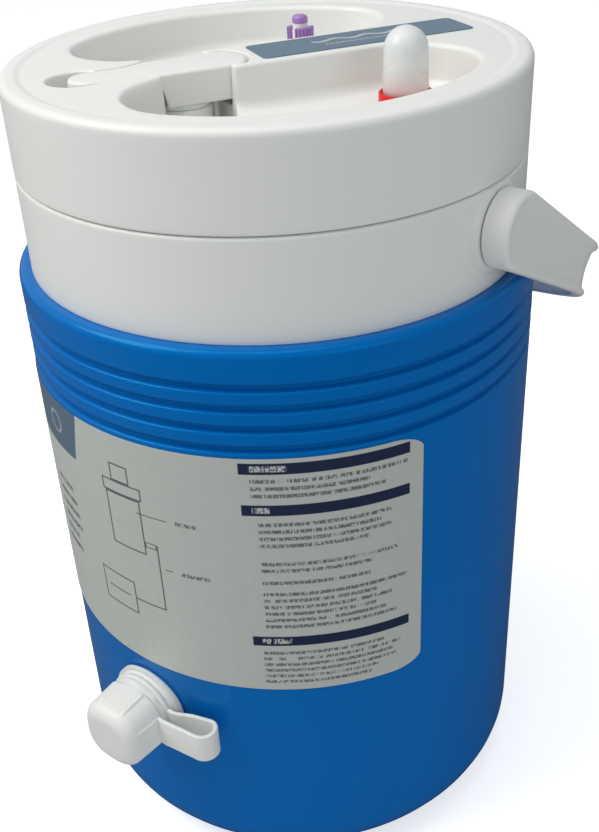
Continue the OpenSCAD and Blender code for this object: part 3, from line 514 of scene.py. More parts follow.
    def surface(self, level, reach, columns, step):
        """Triangulated relief below a level, open round the spout."""
        hole = self.mm.spout_hole
        lines = [circle(reach, columns), self.hole()]
        for field, levels in self.rows():
            for value in levels:
                p, e = contour(field, value, step, 80)
                inside = np.hypot(p[:, 0], p[:, 1]) < reach - 0.3
                inside &= np.hypot(p[:, 0] - self.spot, p[:, 1]) > hole + 0.1
                if field != self.open_part:
                    beyond = self.open_part(p[:, 0], p[:, 1])
                    inside &= (beyond < 1.5) if field == self.well else (beyond > -0.5)
                renumber = np.cumsum(inside) - 1
                lines.append((p[inside], renumber[e[inside[e].all(1)]]))
        loose = np.vstack([honeycomb(2.6, reach - 1.2), honeycomb(0.8, 12) + [self.notch_centre, 0]])
        u, v = loose[:, 0], loose[:, 1]
        far = (np.abs(self.open_part(u, v) + 1.2) > 3.6) | (np.hypot(u - self.notch_centre, v) < 11.5)
        loose = loose[far & (np.hypot(u, v) < reach - 0.6) & (np.hypot(u - self.spot, v) > hole + 0.6)]
        p, faces = triangulate([q for q in lines if len(q[1])], loose)
        middle = p[faces].mean(1)
        faces = faces[np.hypot(middle[:, 0] - self.spot, middle[:, 1]) > hole - 0.02]
        return np.column_stack([p, level - self.depth(p[:, 0], p[:, 1])]), faces


def turned(points, angle):
    """Points turned round Z by an angle in radians."""
    c, s = np.cos(angle), np.sin(angle)
    return points @ np.array([[c, s, 0], [-s, c, 0], [0, 0, 1]])


def lid_angle():
    """Turn of the lid's bridge from X, from the lever's hinge axis, which lies across the bridge."""
    x, y, _ = JOINTS["lever_flip"]["axis"]
    return np.arctan2(-x, y)


def screw(turn, z, start, lead, thick=3.2, sweep=100):
    """Height of a pair of screw lugs over a surface, 0 to 1: a band that rises with the turn."""
    share = np.degrees(np.mod(turn, np.pi)) / sweep
    middle = start + lead * share * sweep / 360
    ends = np.clip(np.minimum(share, 1 - share) * sweep / 1.5, 0, 1)
    return np.clip((thick / 2 - np.abs(z - middle)) / 0.5, 0, 1) * ends


# ---- Shaders ----

class Wire:
    """A shader socket that takes part in sums: plain operators make Math nodes."""

    def __init__(self, paint, socket):
        self.paint, self.socket = paint, socket

    def math(self, operation, *others):
        values = {0: self}
        values.update({i + 1: value for i, value in enumerate(others)})
        return self.paint.node("ShaderNodeMath", {"operation": operation}, values)

    def __add__(self, other):
        return self.math("ADD", other)

    def __mul__(self, other):
        return self.math("MULTIPLY", other)

    def __sub__(self, other):
        return self.math("SUBTRACT", other)

    def __rsub__(self, other):
        return self * -1 + other

    def __truediv__(self, other):
        return self.math("DIVIDE", other)

    __radd__, __rmul__ = __add__, __mul__

    def above(self, value, soft):
        """0 to 1 across a value, over a width."""
        return self.math("SUBTRACT", value).math("DIVIDE", soft).math("ADD", 0.5).math("MAXIMUM", 0).math(
            "MINIMUM", 1)

    def between(self, low, high, soft):
        """1 between two values, with soft sides."""
        return self.above(low, soft) * (1 - self.above(high, soft))


class Paint:
    """A material's node tree with one shader and short ways to feed it."""

    def __init__(self, name, **constants):
        self.material = bpy.data.materials.new(name)
        self.material.use_nodes = True
        self.tree = self.material.node_tree
        self.shader = self.tree.nodes["Principled BSDF"]
        for key, value in constants.items():
            self.shader.inputs[key.replace("_", " ")].default_value = value
        self.coordinates = self.node("ShaderNodeTexCoord", {}, {}, "Object")

    def node(self, kind, settings, values, output=0):
        """Any node: its settings first, then each socket's value or link; returns one output."""
        made = self.tree.nodes.new(kind)
        for key, value in settings.items():
            setattr(made, key, value)
        for key, value in values.items():
            if isinstance(value, Wire):
                self.tree.links.new(value.socket, made.inputs[key])
            else:
                made.inputs[key].default_value = value
        return Wire(self, made.outputs[output])

    def feed(self, name, wire):
        self.tree.links.new(wire.socket, self.shader.inputs[name])

    def noise(self, scale, detail=2.0, over=None):
        """Noise over the object's own coordinates, or over others."""
        return self.node("ShaderNodeTexNoise", {}, {
            "Vector": over or self.coordinates, "Scale": scale, "Detail": detail})

    def mix(self, factor, first, second):
        """Two colours mixed by a mask."""
        first, second = ((*c, 1) if isinstance(c, tuple) else c for c in (first, second))
        return self.node("ShaderNodeMix", {"data_type": "RGBA"}, {0: factor, 6: first, 7: second}, 2)

    def xyz(self):
        """Object coordinates in millimetres."""
        split = self.tree.nodes.new("ShaderNodeSeparateXYZ")
        self.tree.links.new(self.coordinates.socket, split.inputs[0])
        return [Wire(self, split.outputs[i]) * 1000 for i in range(3)]

    def bump(self, height, strength, distance=0.0002):
        self.feed("Normal", self.node("ShaderNodeBump", {}, {
            "Strength": strength, "Distance": distance, "Height": height}))


def shades(rgb, less, more=None):
    """A colour made darker and lighter by shares of itself."""
    more = less if more is None else more
    rgb = tuple(rgb)[:3]
    return tuple(v * (1 - less) for v in rgb), tuple(min(1, v * (1 + more)) for v in rgb)


def total(wires):
    """The sum of some wires."""
    whole, *others = wires
    for wire in others:
        whole = whole + wire
    return whole


def moulded(name, rgb, rough=0.4, grain=260.0, strength=0.05, shade=0.04, **constants):
    """A moulded plastic: its colour drifts a little, its gloss varies and its skin has a fine grain."""
    paint = Paint(name, **constants)
    paint.feed("Base Color", paint.mix(paint.noise(14.0, 3.0), *shades(rgb, shade)))
    paint.feed("Roughness", paint.noise(60.0, 4.0) * 0.12 + (rough - 0.06))
    paint.bump(paint.noise(grain, 2.0), strength)
    return paint


def label_paint(c, radius):
    """Silver film with generic marks: navy bars with pale dashes in one column, rows of word-like dashes
    under them, a slate panel at the left and a plain outline of a jug and a pad. All are placed by arc length
    round the label and by height, in millimetres."""
    paint = Paint("front_label_print", Metallic=0.15)
    x, y, z = paint.xyz()
    arc = x.math("ARCTAN2", y * -1) * radius
    film = paint.mix(paint.noise(420.0, 3.0), *shades(c.film, 0.05))

    def box(a0, a1, z0, z1, soft=0.25):
        """1 inside a rectangle from arc a0 to a1 and from height z0 to z1."""
        return arc.between(a0, a1, soft) * z.between(z0, z1, soft)

    def outline(a0, a1, z0, z1, line=0.6):
        """1 on the inner edge of a rectangle."""
        return box(a0, a1, z0, z1) - box(a0 + line, a1 - line, z0 + line, z1 - line)

    def dashes(a0, a1, z0, z1, pitch, seed, height=0.5):
        """Rows of dashes: a stripe in height for each row, cut into words by slow noise along it and into
        strokes by quick noise, with a ragged right end."""
        row = (z - z0) / pitch
        line = row.math("FLOOR")
        stripe = row.math("FRACT").between(0.5 - height / 2, 0.5 + height / 2, 0.14)
        along = paint.node("ShaderNodeCombineXYZ", {}, {0: arc * 0.42, 1: line * 7.31 + seed, 2: 0.0})
        word = 1 - paint.noise(1.0, 0.0, along).between(0.5, 0.55, 0.03)
        near = paint.node("ShaderNodeCombineXYZ", {}, {0: arc * 1.7, 1: z * 0.9, 2: line * 3.7 + seed})
        stroke = paint.noise(1.0, 0.0, near).above(0.37, 0.2)
        ragged = paint.node("ShaderNodeTexWhiteNoise", {"noise_dimensions": "1D"}, {"W": line + seed}, 0)
        end = 1 - arc.above(ragged * 14 + (a1 - 13), 0.6)
        return box(a0, a1, z0, z1) * stripe * word * stroke * end

    # Bars of the right column: lower edge, end of the pale dashes on it and their seed
    bar_start, bar_end, bar_height, dash_start = 45.2, 99.8, 4.1, 48.5
    bar_rows = ((185.5, 63, 3.1), (169.9, 66, 5.9), (115.4, 61, 8.4))
    bars = total(box(bar_start, bar_end, low, low + bar_height) for low, _, _ in bar_rows)
    pale = total(dashes(dash_start, end, low + 0.7, low + 3.4, 2.7, seed, 0.8)
                 for low, end, seed in bar_rows)
    words = total(dashes(*block) for block in (
        (dash_start, 99, 176.0, 184.4, 2.8, 1.3), (50, 97, 156.6, 167.8, 2.8, 2.2),
        (50, 96, 146.4, 152.0, 2.8, 4.7), (50, 88, 141.4, 144.2, 2.8, 6.1), (50, 99, 122.6, 139.4, 2.8, 9.3),
        (dash_start, 98, 97.5, 113.4, 2.65, 7.7), (22, 41, 161.5, 164.5, 3.0, 11.2),
        (22, 38, 140.5, 143.5, 3.0, 12.8), (-44, -22, 125, 158, 5.5, 21.3, 0.4)))
    # Jug with its shoulder, neck and nozzle, and the pad
    drawn = total(outline(*piece) for piece in (
        (-6, 9, 146, 168), (-7, 10, 168, 173), (-2.5, 5.5, 173, 180), (9, 13.5, 149.5, 151.8, 0.4),
        (-16, 1, 116.5, 131)))
    # Hose down to the pad, the pad's seam and two pointers
    drawn = drawn + total(box(*line, 0.3) for line in (
        (13.5, 14.1, 124, 151.5), (1, 14.1, 123.6, 124.2), (-13, -2, 123.4, 124.0), (7, 19, 162.8, 163.2),
        (16, 19, 142, 142.4)))
    panel_edge = (z - 195) * 0.24 - 16.5
    panel = (1 - arc.above(panel_edge, 0.3)) * z.between(171.8, 300, 0.3)
    ring = ((arc + 34).math("POWER", 2) + (z - 182).math("POWER", 2)).between(12, 20, 2.0) * panel
    looks = paint.mix(panel, film, tuple(c.slate))
    looks = paint.mix(ring * 0.6, looks, tuple(c.film))
    looks = paint.mix(bars.math("MINIMUM", 1), looks, tuple(c.navy))
    looks = paint.mix(pale.math("MINIMUM", 1), looks, tuple(c.film))
    looks = paint.mix((words * 0.8).math("MINIMUM", 1), looks, tuple(c.ink))
    looks = paint.mix((drawn.math("MAXIMUM", 0) * 0.85).math("MINIMUM", 1), looks, tuple(c.ink))
    paint.feed("Base Color", looks)
    paint.feed("Roughness", paint.noise(50.0, 2.0) * 0.1 + 0.42)
    paint.bump(paint.noise(900.0, 1.0), 0.03)
    return paint


def lid_label_paint(c):
    """Slate film with pale generic marks along the bridge: a waved stripe and a row of dots."""
    paint = Paint("lid_label_print")
    x, y, _ = paint.xyz()
    turn = lid_angle()
    u = x * float(np.cos(turn)) + y * float(np.sin(turn))
    v = y * float(np.cos(turn)) - x * float(np.sin(turn))
    base = paint.mix(paint.noise(300.0, 2.0), *shades(c.slate, 0.06))
    wave = (u * 0.55).math("SINE") * 1.1
    stripe = (v - wave).between(1.2, 3.0, 0.3) * u.between(17, 49, 0.4)
    dots = (u * 0.9).math("FRACT").between(0.25, 0.75, 0.2)
    dots = dots * v.between(-3.6, -2.2, 0.3) * u.between(20, 46, 0.4)
    marks = ((stripe + dots) * 0.75).math("MINIMUM", 1)
    paint.feed("Base Color", paint.mix(marks, base, tuple(c.film)))
    paint.feed("Roughness", paint.noise(80.0, 2.0) * 0.1 + 0.4)
    paint.bump(paint.noise(700.0, 1.0), 0.03)
    return paint


def shell_paint(c):
    """Glossy blue shell: its colour drifts, its skin has a fine grain, and a shallow parting line runs down
    both sides. Its gloss is tinted, because the photograph's highlights on it stay blue."""
    paint = Paint("blue_shell_paint", Specular_IOR_Level=0.4, Specular_Tint=(0.08, 0.75, 1.0, 1))
    _, y, _ = paint.xyz()
    paint.feed("Base Color", paint.mix(paint.noise(11.0, 3.0), *shades(c.shell, 0.05)))
    paint.feed("Roughness", paint.noise(70.0, 4.0) * 0.1 + 0.19)
    parting = (y + 1.2).math("ABSOLUTE").above(0.45, 0.7)
    paint.bump(paint.noise(420.0, 2.0) * 0.25 + parting * 0.5, 0.25, 0.0003)
    return paint


def steel_paint(c):
    """Turned steel of the pins, with fine lines round X."""
    paint = Paint("steel_paint", Metallic=1.0)
    x, y, z = paint.xyz()
    lines = paint.node("ShaderNodeCombineXYZ", {}, {0: x * 0.05, 1: y * 3.0, 2: z * 3.0})
    paint.feed("Base Color", paint.mix(paint.noise(2.0, 3.0, lines), *shades(c.steel, 0.15, 0)))
    paint.feed("Roughness", paint.noise(2.0, 2.0, lines) * 0.2 + 0.2)
    return paint


def milk_paint(c):
    """Milky plastic of the vent's cap, with the red of the base that shines through it painted into its colour
    below a height.
    """
    paint = Paint("milk_paint", Alpha=0.97, IOR=1.45)
    _, _, z = paint.xyz()
    # Painted shine-through of the red base: its share in the cap's colour, the height up to which it shows and its
    # fade
    red_share, red_top, red_fade = 0.28, 284.0, 9.0
    tint = tuple(a * (1 - red_share) + b * red_share for a, b in zip(c.milk, c.red))
    paint.feed("Base Color", paint.mix(z.above(red_top, red_fade), tint, tuple(c.milk)))
    paint.feed("Roughness", paint.noise(90.0, 2.0) * 0.1 + 0.22)
    paint.bump(paint.noise(300.0, 1.0), 0.03)
    return paint


def make_paints(c, m):
    """Every material, by the record's slot names."""
    return {
        "blue_shell": shell_paint(c),
        "white_plastic": moulded("white_paint", c.white, 0.42, 380.0, 0.05, 0.012),
        "tub_white": moulded("tub_paint", c.tub, 0.38, 200.0, 0.04, 0.012),
        "foam": moulded("foam_paint", c.foam, 0.9, 900.0, 0.6, 0.08),
        "front_label": label_paint(c, m.label_radius),
        "lid_label": lid_label_paint(c),
        "steel": steel_paint(c),
        "spring_steel": moulded("wire_paint", c.wire, 0.3, 1500.0, 0.1, 0.08, Metallic=1.0),
        "seal_grey": moulded("seal_grey_paint", c.seal, 0.6, 700.0, 0.1, 0.04),
        "seal_black": moulded("seal_black_paint", c.rubber, 0.55, 700.0, 0.15, 0.15),
        "red_plastic": moulded("red_paint", c.red, 0.35, 400.0, 0.05, 0.06, Specular_IOR_Level=0.25),
        "clear_cap": milk_paint(c),
        "purple_plastic": moulded("purple_paint", c.purple, 0.32, 400.0, 0.05, 0.05),
        "poppet_grey": moulded("poppet_paint", c.poppet, 0.5, 500.0, 0.1, 0.08),
    }


PAINTS = {}


def coat(slot):
    """A finished material by slot; the paint operator makes them all first."""
    if slot not in PAINTS:
        raise RuntimeError("run the paint operator first")
    return PAINTS[slot].material


# ---- Operators ----

class JUG_OT_paints(bpy.types.Operator):
    """Make every material and give each CAD node the one of its slot. Small mouldings that keep their CAD
    shape get soft edges"""
    bl_idname = "jug.paints"
    bl_label = "Materials"

    def execute(self, context):
        scene = context.scene
        PAINTS.update(make_paints(scene.jug_colours, Millimetres(scene)))
        slots = {row["node"]: row["material_slot"] for row in frame["record"]["subparts"]}
        for name, obj in frame["nodes"].items():
            obj.data.materials.clear()
            obj.data.materials.append(coat(slots[name]))
        for name in ("outlet_fitting", "relief_body", "relief_button", "outlet_poppet"):
            obj = frame["nodes"][name]
            weld = obj.modifiers.new("Weld", "WELD")
            weld.merge_threshold = 1e-6
            bevel = obj.modifiers.new("Soft edges", "BEVEL")
            bevel.width, bevel.segments, bevel.limit_method = 0.00025, 2, "ANGLE"
            bevel.angle_limit = np.radians(38)
        return {"FINISHED"}


class JUG_OT_shell(bpy.types.Operator):
    """Blue shell: a lathe profile with soft grooves, a recessed base and an inner wall"""
    bl_idname = "jug.shell"
    bl_label = "Blue shell"

    def execute(self, context):
        m = Millimetres(context.scene)
        r, top, wall, recess = m.body_radius, m.shoulder, m.shell_wall, m.recess_depth
        soft, half, bottom = 0.8, m.groove_width / 2, r - m.groove_depth
        corners = [(0, 0, 0), (m.recess_inner, 0, soft), (m.recess_inner, recess, soft),
                   (m.recess_outer, recess, soft), (m.recess_outer, 0, soft), (r, 0, m.base_round)]
        for i in (3, 2, 1, 0):
            z = top - m.groove_drop - i * m.groove_pitch
            corners += [(r, z - half, 0.9), (bottom, z - half + 0.9, 0.45),
                        (bottom, z + half - 0.5, 0.45), (r, z + half, 0.7)]
        corners += [(r, top, 2.6), (m.shell_mouth, top, 0.4), (m.shell_mouth, top - wall, 0.4),
                    (r - wall, top - wall, 2), (r - wall, recess + wall, m.base_round - wall),
                    (0, recess + wall, 0)]
        path = densify(rounded_path(corners, steps=10), 8)
        build("blue_shell_body", [lathe(path, 288)], "blue_shell", "jug", ["outer_shell"], 50)
        return {"FINISHED"}


class JUG_OT_collar(bpy.types.Operator):
    """White collar and neck: a lathe whose radius swells to two flat bosses and to the screw lugs.
    Boss: r = R + (boss reach / cos(turn) - R) * s, where s falls from 1 to 0 across the fillet."""
    bl_idname = "jug.collar"
    bl_label = "Collar and neck"

    def execute(self, context):
        m = Millimetres(context.scene)
        r, low, seam = m.collar_radius, m.shoulder, m.seam - 0.3
        inner, neck_low, lug_rise = r - m.collar_wall, seam - 3, 8

        def swell(turn, radius, z):
            rho = np.hypot(r * np.sin(turn), z - m.pivot)
            s = np.clip((m.boss_radius + m.boss_fillet - rho) / m.boss_fillet, 0, 1)
            s = s * s * (3 - 2 * s)
            boss = (m.boss_reach / np.maximum(np.abs(np.cos(turn)), 0.5) - radius) * s
            lug = screw(turn, z, m.seam + lug_rise, m.lug_lead) * m.lug_out
            on_collar = (radius > r - 0.4) & (z > low + 0.5) & (z < seam - 0.5)
            on_neck = np.abs(radius - m.neck_radius) < 0.05
            return radius + np.where(on_collar, boss, 0) + np.where(on_neck, lug, 0)

        path = densify(rounded_path([
            (m.neck_bore, neck_low, 0), (m.neck_bore, m.neck_top, 0.8), (m.neck_radius, m.neck_top, 0.8),
            (m.neck_radius, seam, 0.5), (r, seam, 1.0), (r, low, 0.3), (inner, low, 0.3),
            (inner, neck_low, 0.5)], steps=5), 0.9)
        build("collar_and_neck", [lathe(path, 540, swell)], "white_plastic", "jug", ["collar"], 40)
        return {"FINISHED"}


class JUG_OT_handle(bpy.types.Operator):
    """Swing handle: a strap between two round hubs. Station s runs along the arms and the half ellipse, and w
    across. The outer face drops by a bead's quarter round at the edge, then into the channel: six tenths of
    its depth over the first fifth of the way to the middle and the rest along a sine. The inner face is flat
    and steps in at the hubs"""
    bl_idname = "jug.handle"
    bl_label = "Handle"

    def execute(self, context):
        m = Millimetres(context.scene)
        lean, step, soft, fillet = np.radians(31), 1.7, 0.8, 1.2
        a, b, arm, hub, bead = m.hub_face, m.grip - m.arm, m.arm, m.hub_radius, m.bead

        # Stations, with the distance from the nearer pivot, which is negative on the hub's round end
        fine = np.linspace(0, np.pi, 4001)
        pieces = np.hypot(np.diff(a * np.cos(fine)), np.diff(b * np.sin(fine)))
        run = np.concatenate([[0], np.cumsum(pieces)])
        whole = 2 * arm + run[-1]
        ends = hub * (1 - np.cos(np.linspace(0, np.pi / 2, 19))) - hub
        s = np.concatenate([ends[:-1], np.arange(0, whole, step), [whole], whole - ends[::-1][1:]])[:, None]
        from_pivot = np.minimum(s, whole - s)
        on_end = from_pivot < 0

        # Across: places w, closer together near the edges, with their distance from the strap's outline
        half = np.where(on_end, np.sqrt(np.maximum(hub * hub - from_pivot ** 2, 0)),
                        np.interp(from_pivot, [0, arm], [hub, m.strap_half]))
        share = np.array([0, 0.01, 0.04, 0.09, 0.15, 0.22, 0.3, 0.4, 0.55, 0.75, 1.0])
        w = half * np.concatenate([share - 1, (1 - share)[::-1][1:]])[None, :]
        rho = np.hypot(from_pivot, w)
        from_edge = np.where(on_end, hub - rho, half - np.abs(w))

        # Outer face: the bead, then the channel, which is shallower near the hubs
        steep, steep_end, hub_share, shallow = 0.6, 0.22, 0.62, 26
        near = np.clip(bead - from_edge, 0, bead)
        t = np.clip((from_edge - bead) / np.maximum(np.where(on_end, hub, half) - bead, 0.1), 0, 1)
        deep = m.channel * (hub_share + (1 - hub_share) * np.clip(from_pivot / shallow, 0, 1))
        drop = np.clip(t / steep_end, 0, 1)
        drop = steep * drop * drop * (3 - 2 * drop) + (1 - steep) * np.sin(t * np.pi / 2)
        outer = np.sqrt(np.maximum(bead ** 2 - near ** 2, 0)) - bead - deep * drop

        # Inner face: the strap's thickness, or the hub's, with a small round at the edge
        thick = m.strap + (m.hub_depth - m.strap) * np.clip((hub + fillet - rho) / fillet, 0, 1)
        near = np.clip(soft - from_edge, 0, soft)
        inner = soft - thick - np.sqrt(np.maximum(soft ** 2 - near ** 2, 0))

        # Both faces carried along the arms and the half ellipse, then leant forward
        w = np.concatenate([w, w[:, ::-1]], 1)
        out = np.concatenate([outer, inner[:, ::-1]], 1)
        turn = np.interp(np.clip(s - arm, 0, run[-1]), run, fine)
        straight = np.minimum(s - arm, 0) + np.minimum(whole - arm - s, 0)
        nx, nf = b * np.cos(turn), a * np.sin(turn)
        size = np.hypot(nx, nf)
        x = a * np.cos(turn) + nx / size * out
        f = arm + b * np.sin(turn) + straight + nf / size * out
        points = np.stack([x, f * np.cos(lean) + w * np.sin(lean),
                           m.pivot - f * np.sin(lean) + w * np.cos(lean)], -1)
        build("swing_handle", [rings(points)], "white_plastic", "handle", ["handle_bail"], 60)
        return {"FINISHED"}


class JUG_OT_lid(bpy.types.Operator):
    """Lid: a relief over the lid's plane, triangulated along its own contour lines, joined to a lathe for the
    rim and skirt, with the same relief grown outward as its underside and the spout as a turned tube"""
    bl_idname = "jug.lid"
    bl_label = "Lid"

    def execute(self, context):
        m = Millimetres(context.scene)
        angle, around, wall, seam = lid_angle(), 360, m.lid_wall, m.seam
        panel, r, lug_rise = m.lid_top - m.lid_step, m.collar_radius, 4.5
        under, skirt, ring, ring_drop = panel - wall, r - wall, 80, 3
        plan, below = LidPlan(m), LidPlan(m, LidPlan.side_wall)
        relief, relief_faces = plan.surface(panel, m.panel_radius, around, 0.85)
        shadow, shadow_faces = below.surface(under, m.under_radius, around, 1.4)
        outside = densify(rounded_path([
            (m.panel_radius, panel, 0), (m.step_radius - 0.4, panel, 1.2),
            (m.step_radius + 1.4, m.lid_top, 1.4), (r, m.lid_top, m.lid_round), (r, seam, 0.9),
            (skirt, seam, 0.5), (skirt, under, 1),
            (ring, under, 0.3), (ring, under - ring_drop, 0.4), (m.under_radius, under - ring_drop, 0.4),
            (m.under_radius, under, 0)], closed=False, steps=7), 2.0, closed=False)

        def swell(turn, radius, z):
            lug = screw(turn, z, seam + lug_rise, m.lug_lead) * m.lug_out
            return radius - np.where(np.abs(radius - skirt) < 0.05, lug, 0)

        hole = plan.hole()[0]
        throat = np.vstack([
            np.column_stack([hole, panel - plan.depth(hole[:, 0], hole[:, 1])]),
            np.column_stack([hole, under - below.depth(hole[:, 0], hole[:, 1])])])
        tube, tube_faces = lathe(rounded_path([
            (m.tube_bore, m.tube_low, 0.4), (m.tube_radius, m.tube_low, 0.4),
            (m.tube_radius, m.tube_high, 0.9), (m.tube_bore, m.tube_high, 0.9)], steps=6), 72)
        build("lid_moulding", [
            (turned(relief, angle), relief_faces), (turned(shadow, angle), shadow_faces),
            lathe(outside, around, swell, False), (turned(throat, angle), grid(2, len(hole), False, True)),
            (turned(at(tube, plan.spot, 0), angle), tube_faces),
        ], "white_plastic", "lid", ["lid_shell"], 46)
        return {"FINISHED"}


class JUG_OT_lever(bpy.types.Operator):
    """Spout lever: a flat slab with a rounded upper edge, thin under the tongue and deep over the spout, with
    the soft stopper under it"""
    bl_idname = "jug.lever"
    bl_label = "Spout lever"

    def execute(self, context):
        m = Millimetres(context.scene)
        top, angle = m.lid_top - m.lid_step - 0.1, lid_angle()
        tongue, block, flare = LidPlan.tongue_half, LidPlan.block_half, LidPlan.flare
        tip, nose_centre, nose_radius = LidPlan.tip_centre - tongue, -21.1, 13.6
        slant, rim, foot = (-38, -36.4), 1.1, 0.4

        # Outline: the tongue, the flare, and the block with its round nose
        reach = np.arcsin(block / nose_radius)
        turn = np.linspace(-reach, reach, 15)
        nose = np.column_stack([
            nose_centre + nose_radius * np.cos(turn), nose_radius * np.sin(turn), 0 * turn])
        nose[[0, -1], 2] = 1.2
        outline = densify(rounded_path([
            (tip, -tongue, 6.7), (flare[0], -tongue, 4), (flare[1], -block, 4), *nose, (flare[1], block, 4),
            (flare[0], tongue, 4), (tip, tongue, 6.7)], steps=12), 1.2)
        along = np.roll(outline, -1, 0) - np.roll(outline, 1, 0)
        normal = np.stack([along[:, 1], -along[:, 0]], -1) / np.linalg.norm(along, axis=1)[:, None]
        count = len(outline)

        def bottom(u):
            """Level of the underside: the tongue's, then the slanted face, then the block's."""
            return np.interp(u, slant, [top - m.tongue_depth, top - m.block_depth])

        # Side: the rounded upper edge, then down to the chamfered foot
        low = bottom(outline[:, 0])
        rows = [np.column_stack([outline - normal * rim * (1 - np.sin(t)),
                                 np.full(count, top - rim + rim * np.cos(t))])
                for t in np.linspace(0, np.pi / 2, 7)]
        rows += [np.column_stack([outline, low + foot]), np.column_stack([outline - normal * foot, low])]

        def face(row, creases=()):
            """Points and triangles inside a row's outline."""
            index = np.arange(count)
            ring = np.stack([index, (index + 1) % count], -1)
            p, faces = triangulate([(row[:, :2], ring), *creases], np.empty((0, 2)))
            return p, within(p, faces, row[:, :2])

        across = block - foot - 0.05
        upper, upper_faces = face(rows[0])
        lower, lower_faces = face(rows[-1], [(np.array([[u, -across], [u, across]]), np.array([[0, 1]]))
                                             for u in slant])
        build("spout_flip_lever", [
            (turned(np.vstack(rows), angle), grid(len(rows), count, False, True)),
            (turned(np.column_stack([upper, np.full(len(upper), top)]), angle), upper_faces),
            (turned(np.column_stack([lower, bottom(lower[:, 0])]), angle), lower_faces),
        ], "white_plastic", "lever", ["spout_lever"], 40)

        # Stopper: a plug that tapers into the spout's tube and a flange that lies on it
        seat, mouth, under = edge("spout_stopper", 0, 2), m.tube_high, top - m.block_depth
        flange = m.tube_radius - 0.2
        p, f = lathe(rounded_path([
            (0, seat, 0), (3.2, seat, 0.4), (6.2, mouth, 0.2), (flange, mouth + 0.1, 0.4),
            (flange, under, 0.4), (0, under, 0)], steps=5), 72)
        build("spout_stopper_plug", [(turned(at(p, -m.spout, 0), angle), f)], "seal_grey", "lever",
              ["spout_stopper"], 40)
        return {"FINISHED"}


class JUG_OT_vent(bpy.types.Operator):
    """Air vent: a red base with its nipple, and the milky domed cap over it"""
    bl_idname = "jug.vent"
    bl_label = "Air vent"

    def execute(self, context):
        m = Millimetres(context.scene)
        x, y, _ = place("vent_cap_pull")
        floor, low = m.lid_top - m.lid_step - m.pocket_depth, edge("vent_base", 0, 2)
        bore, stem, nipple, rim, rim_wall = 2.5, 4, 4.9, 8.6, 0.8
        dish, rim_top, tip = floor + 3, floor + 3.9, floor + 14.6
        p, f = lathe(rounded_path([
            (bore, low, 0), (stem, low, 0.4), (stem, floor, 0), (rim, floor, 0), (rim, rim_top, 0.8),
            (rim - rim_wall, rim_top, 0.2), (rim - rim_wall, dish, 0.2), (nipple, dish, 0.3),
            (nipple - 0.3, tip, 0.8), (bore, tip, 0.3)], steps=6), 72)
        build("vent_red_base", [(at(p, x, y), f)], "red_plastic", "lid", ["vent_base"], 40)

        # Cap: a half round inside another, over a wall that widens to its foot
        r, low, high, wall, widen = m.vent_radius, dish + 0.1, edge("vent_cap", 1, 2), 1.2, 0.5
        arc = np.linspace(np.pi / 2, 0, 15)[:, None]
        dome = np.hstack([np.cos(arc), np.sin(arc) - 1])
        outer, inner = (r - widen) * dome + [0, high], (r - widen - wall) * dome + [0, high - wall]
        foot = [(r, low + 0.4), (r - 0.3, low), (r - wall + 0.3, low), (r - wall, low + 0.3)]
        p, f = lathe(np.vstack([outer, foot, inner[::-1]]), 72)
        build("vent_milky_cap", [(at(p, x, y), f)], "clear_cap", "vent_top", ["vent_cap"], 45)
        return {"FINISHED"}


class JUG_OT_boot(bpy.types.Operator):
    """Relief valve's white boot: a short sleeve from the stem's top to the button's underside"""
    bl_idname = "jug.boot"
    bl_label = "Relief valve boot"

    def execute(self, context):
        x, y, under = place("relief_press")
        low, bore = edge("relief_body", 1, 2), 2.25
        p, f = lathe(rounded_path([
            (bore, low, 0.1), (2.75, low, 0.1), (2.7, under, 0.1), (bore, under, 0.1)]), 48)
        boot = build("relief_valve_boot", [(at(p, x, y), f)], "white_plastic")
        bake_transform(boot)
        return {"FINISHED"}


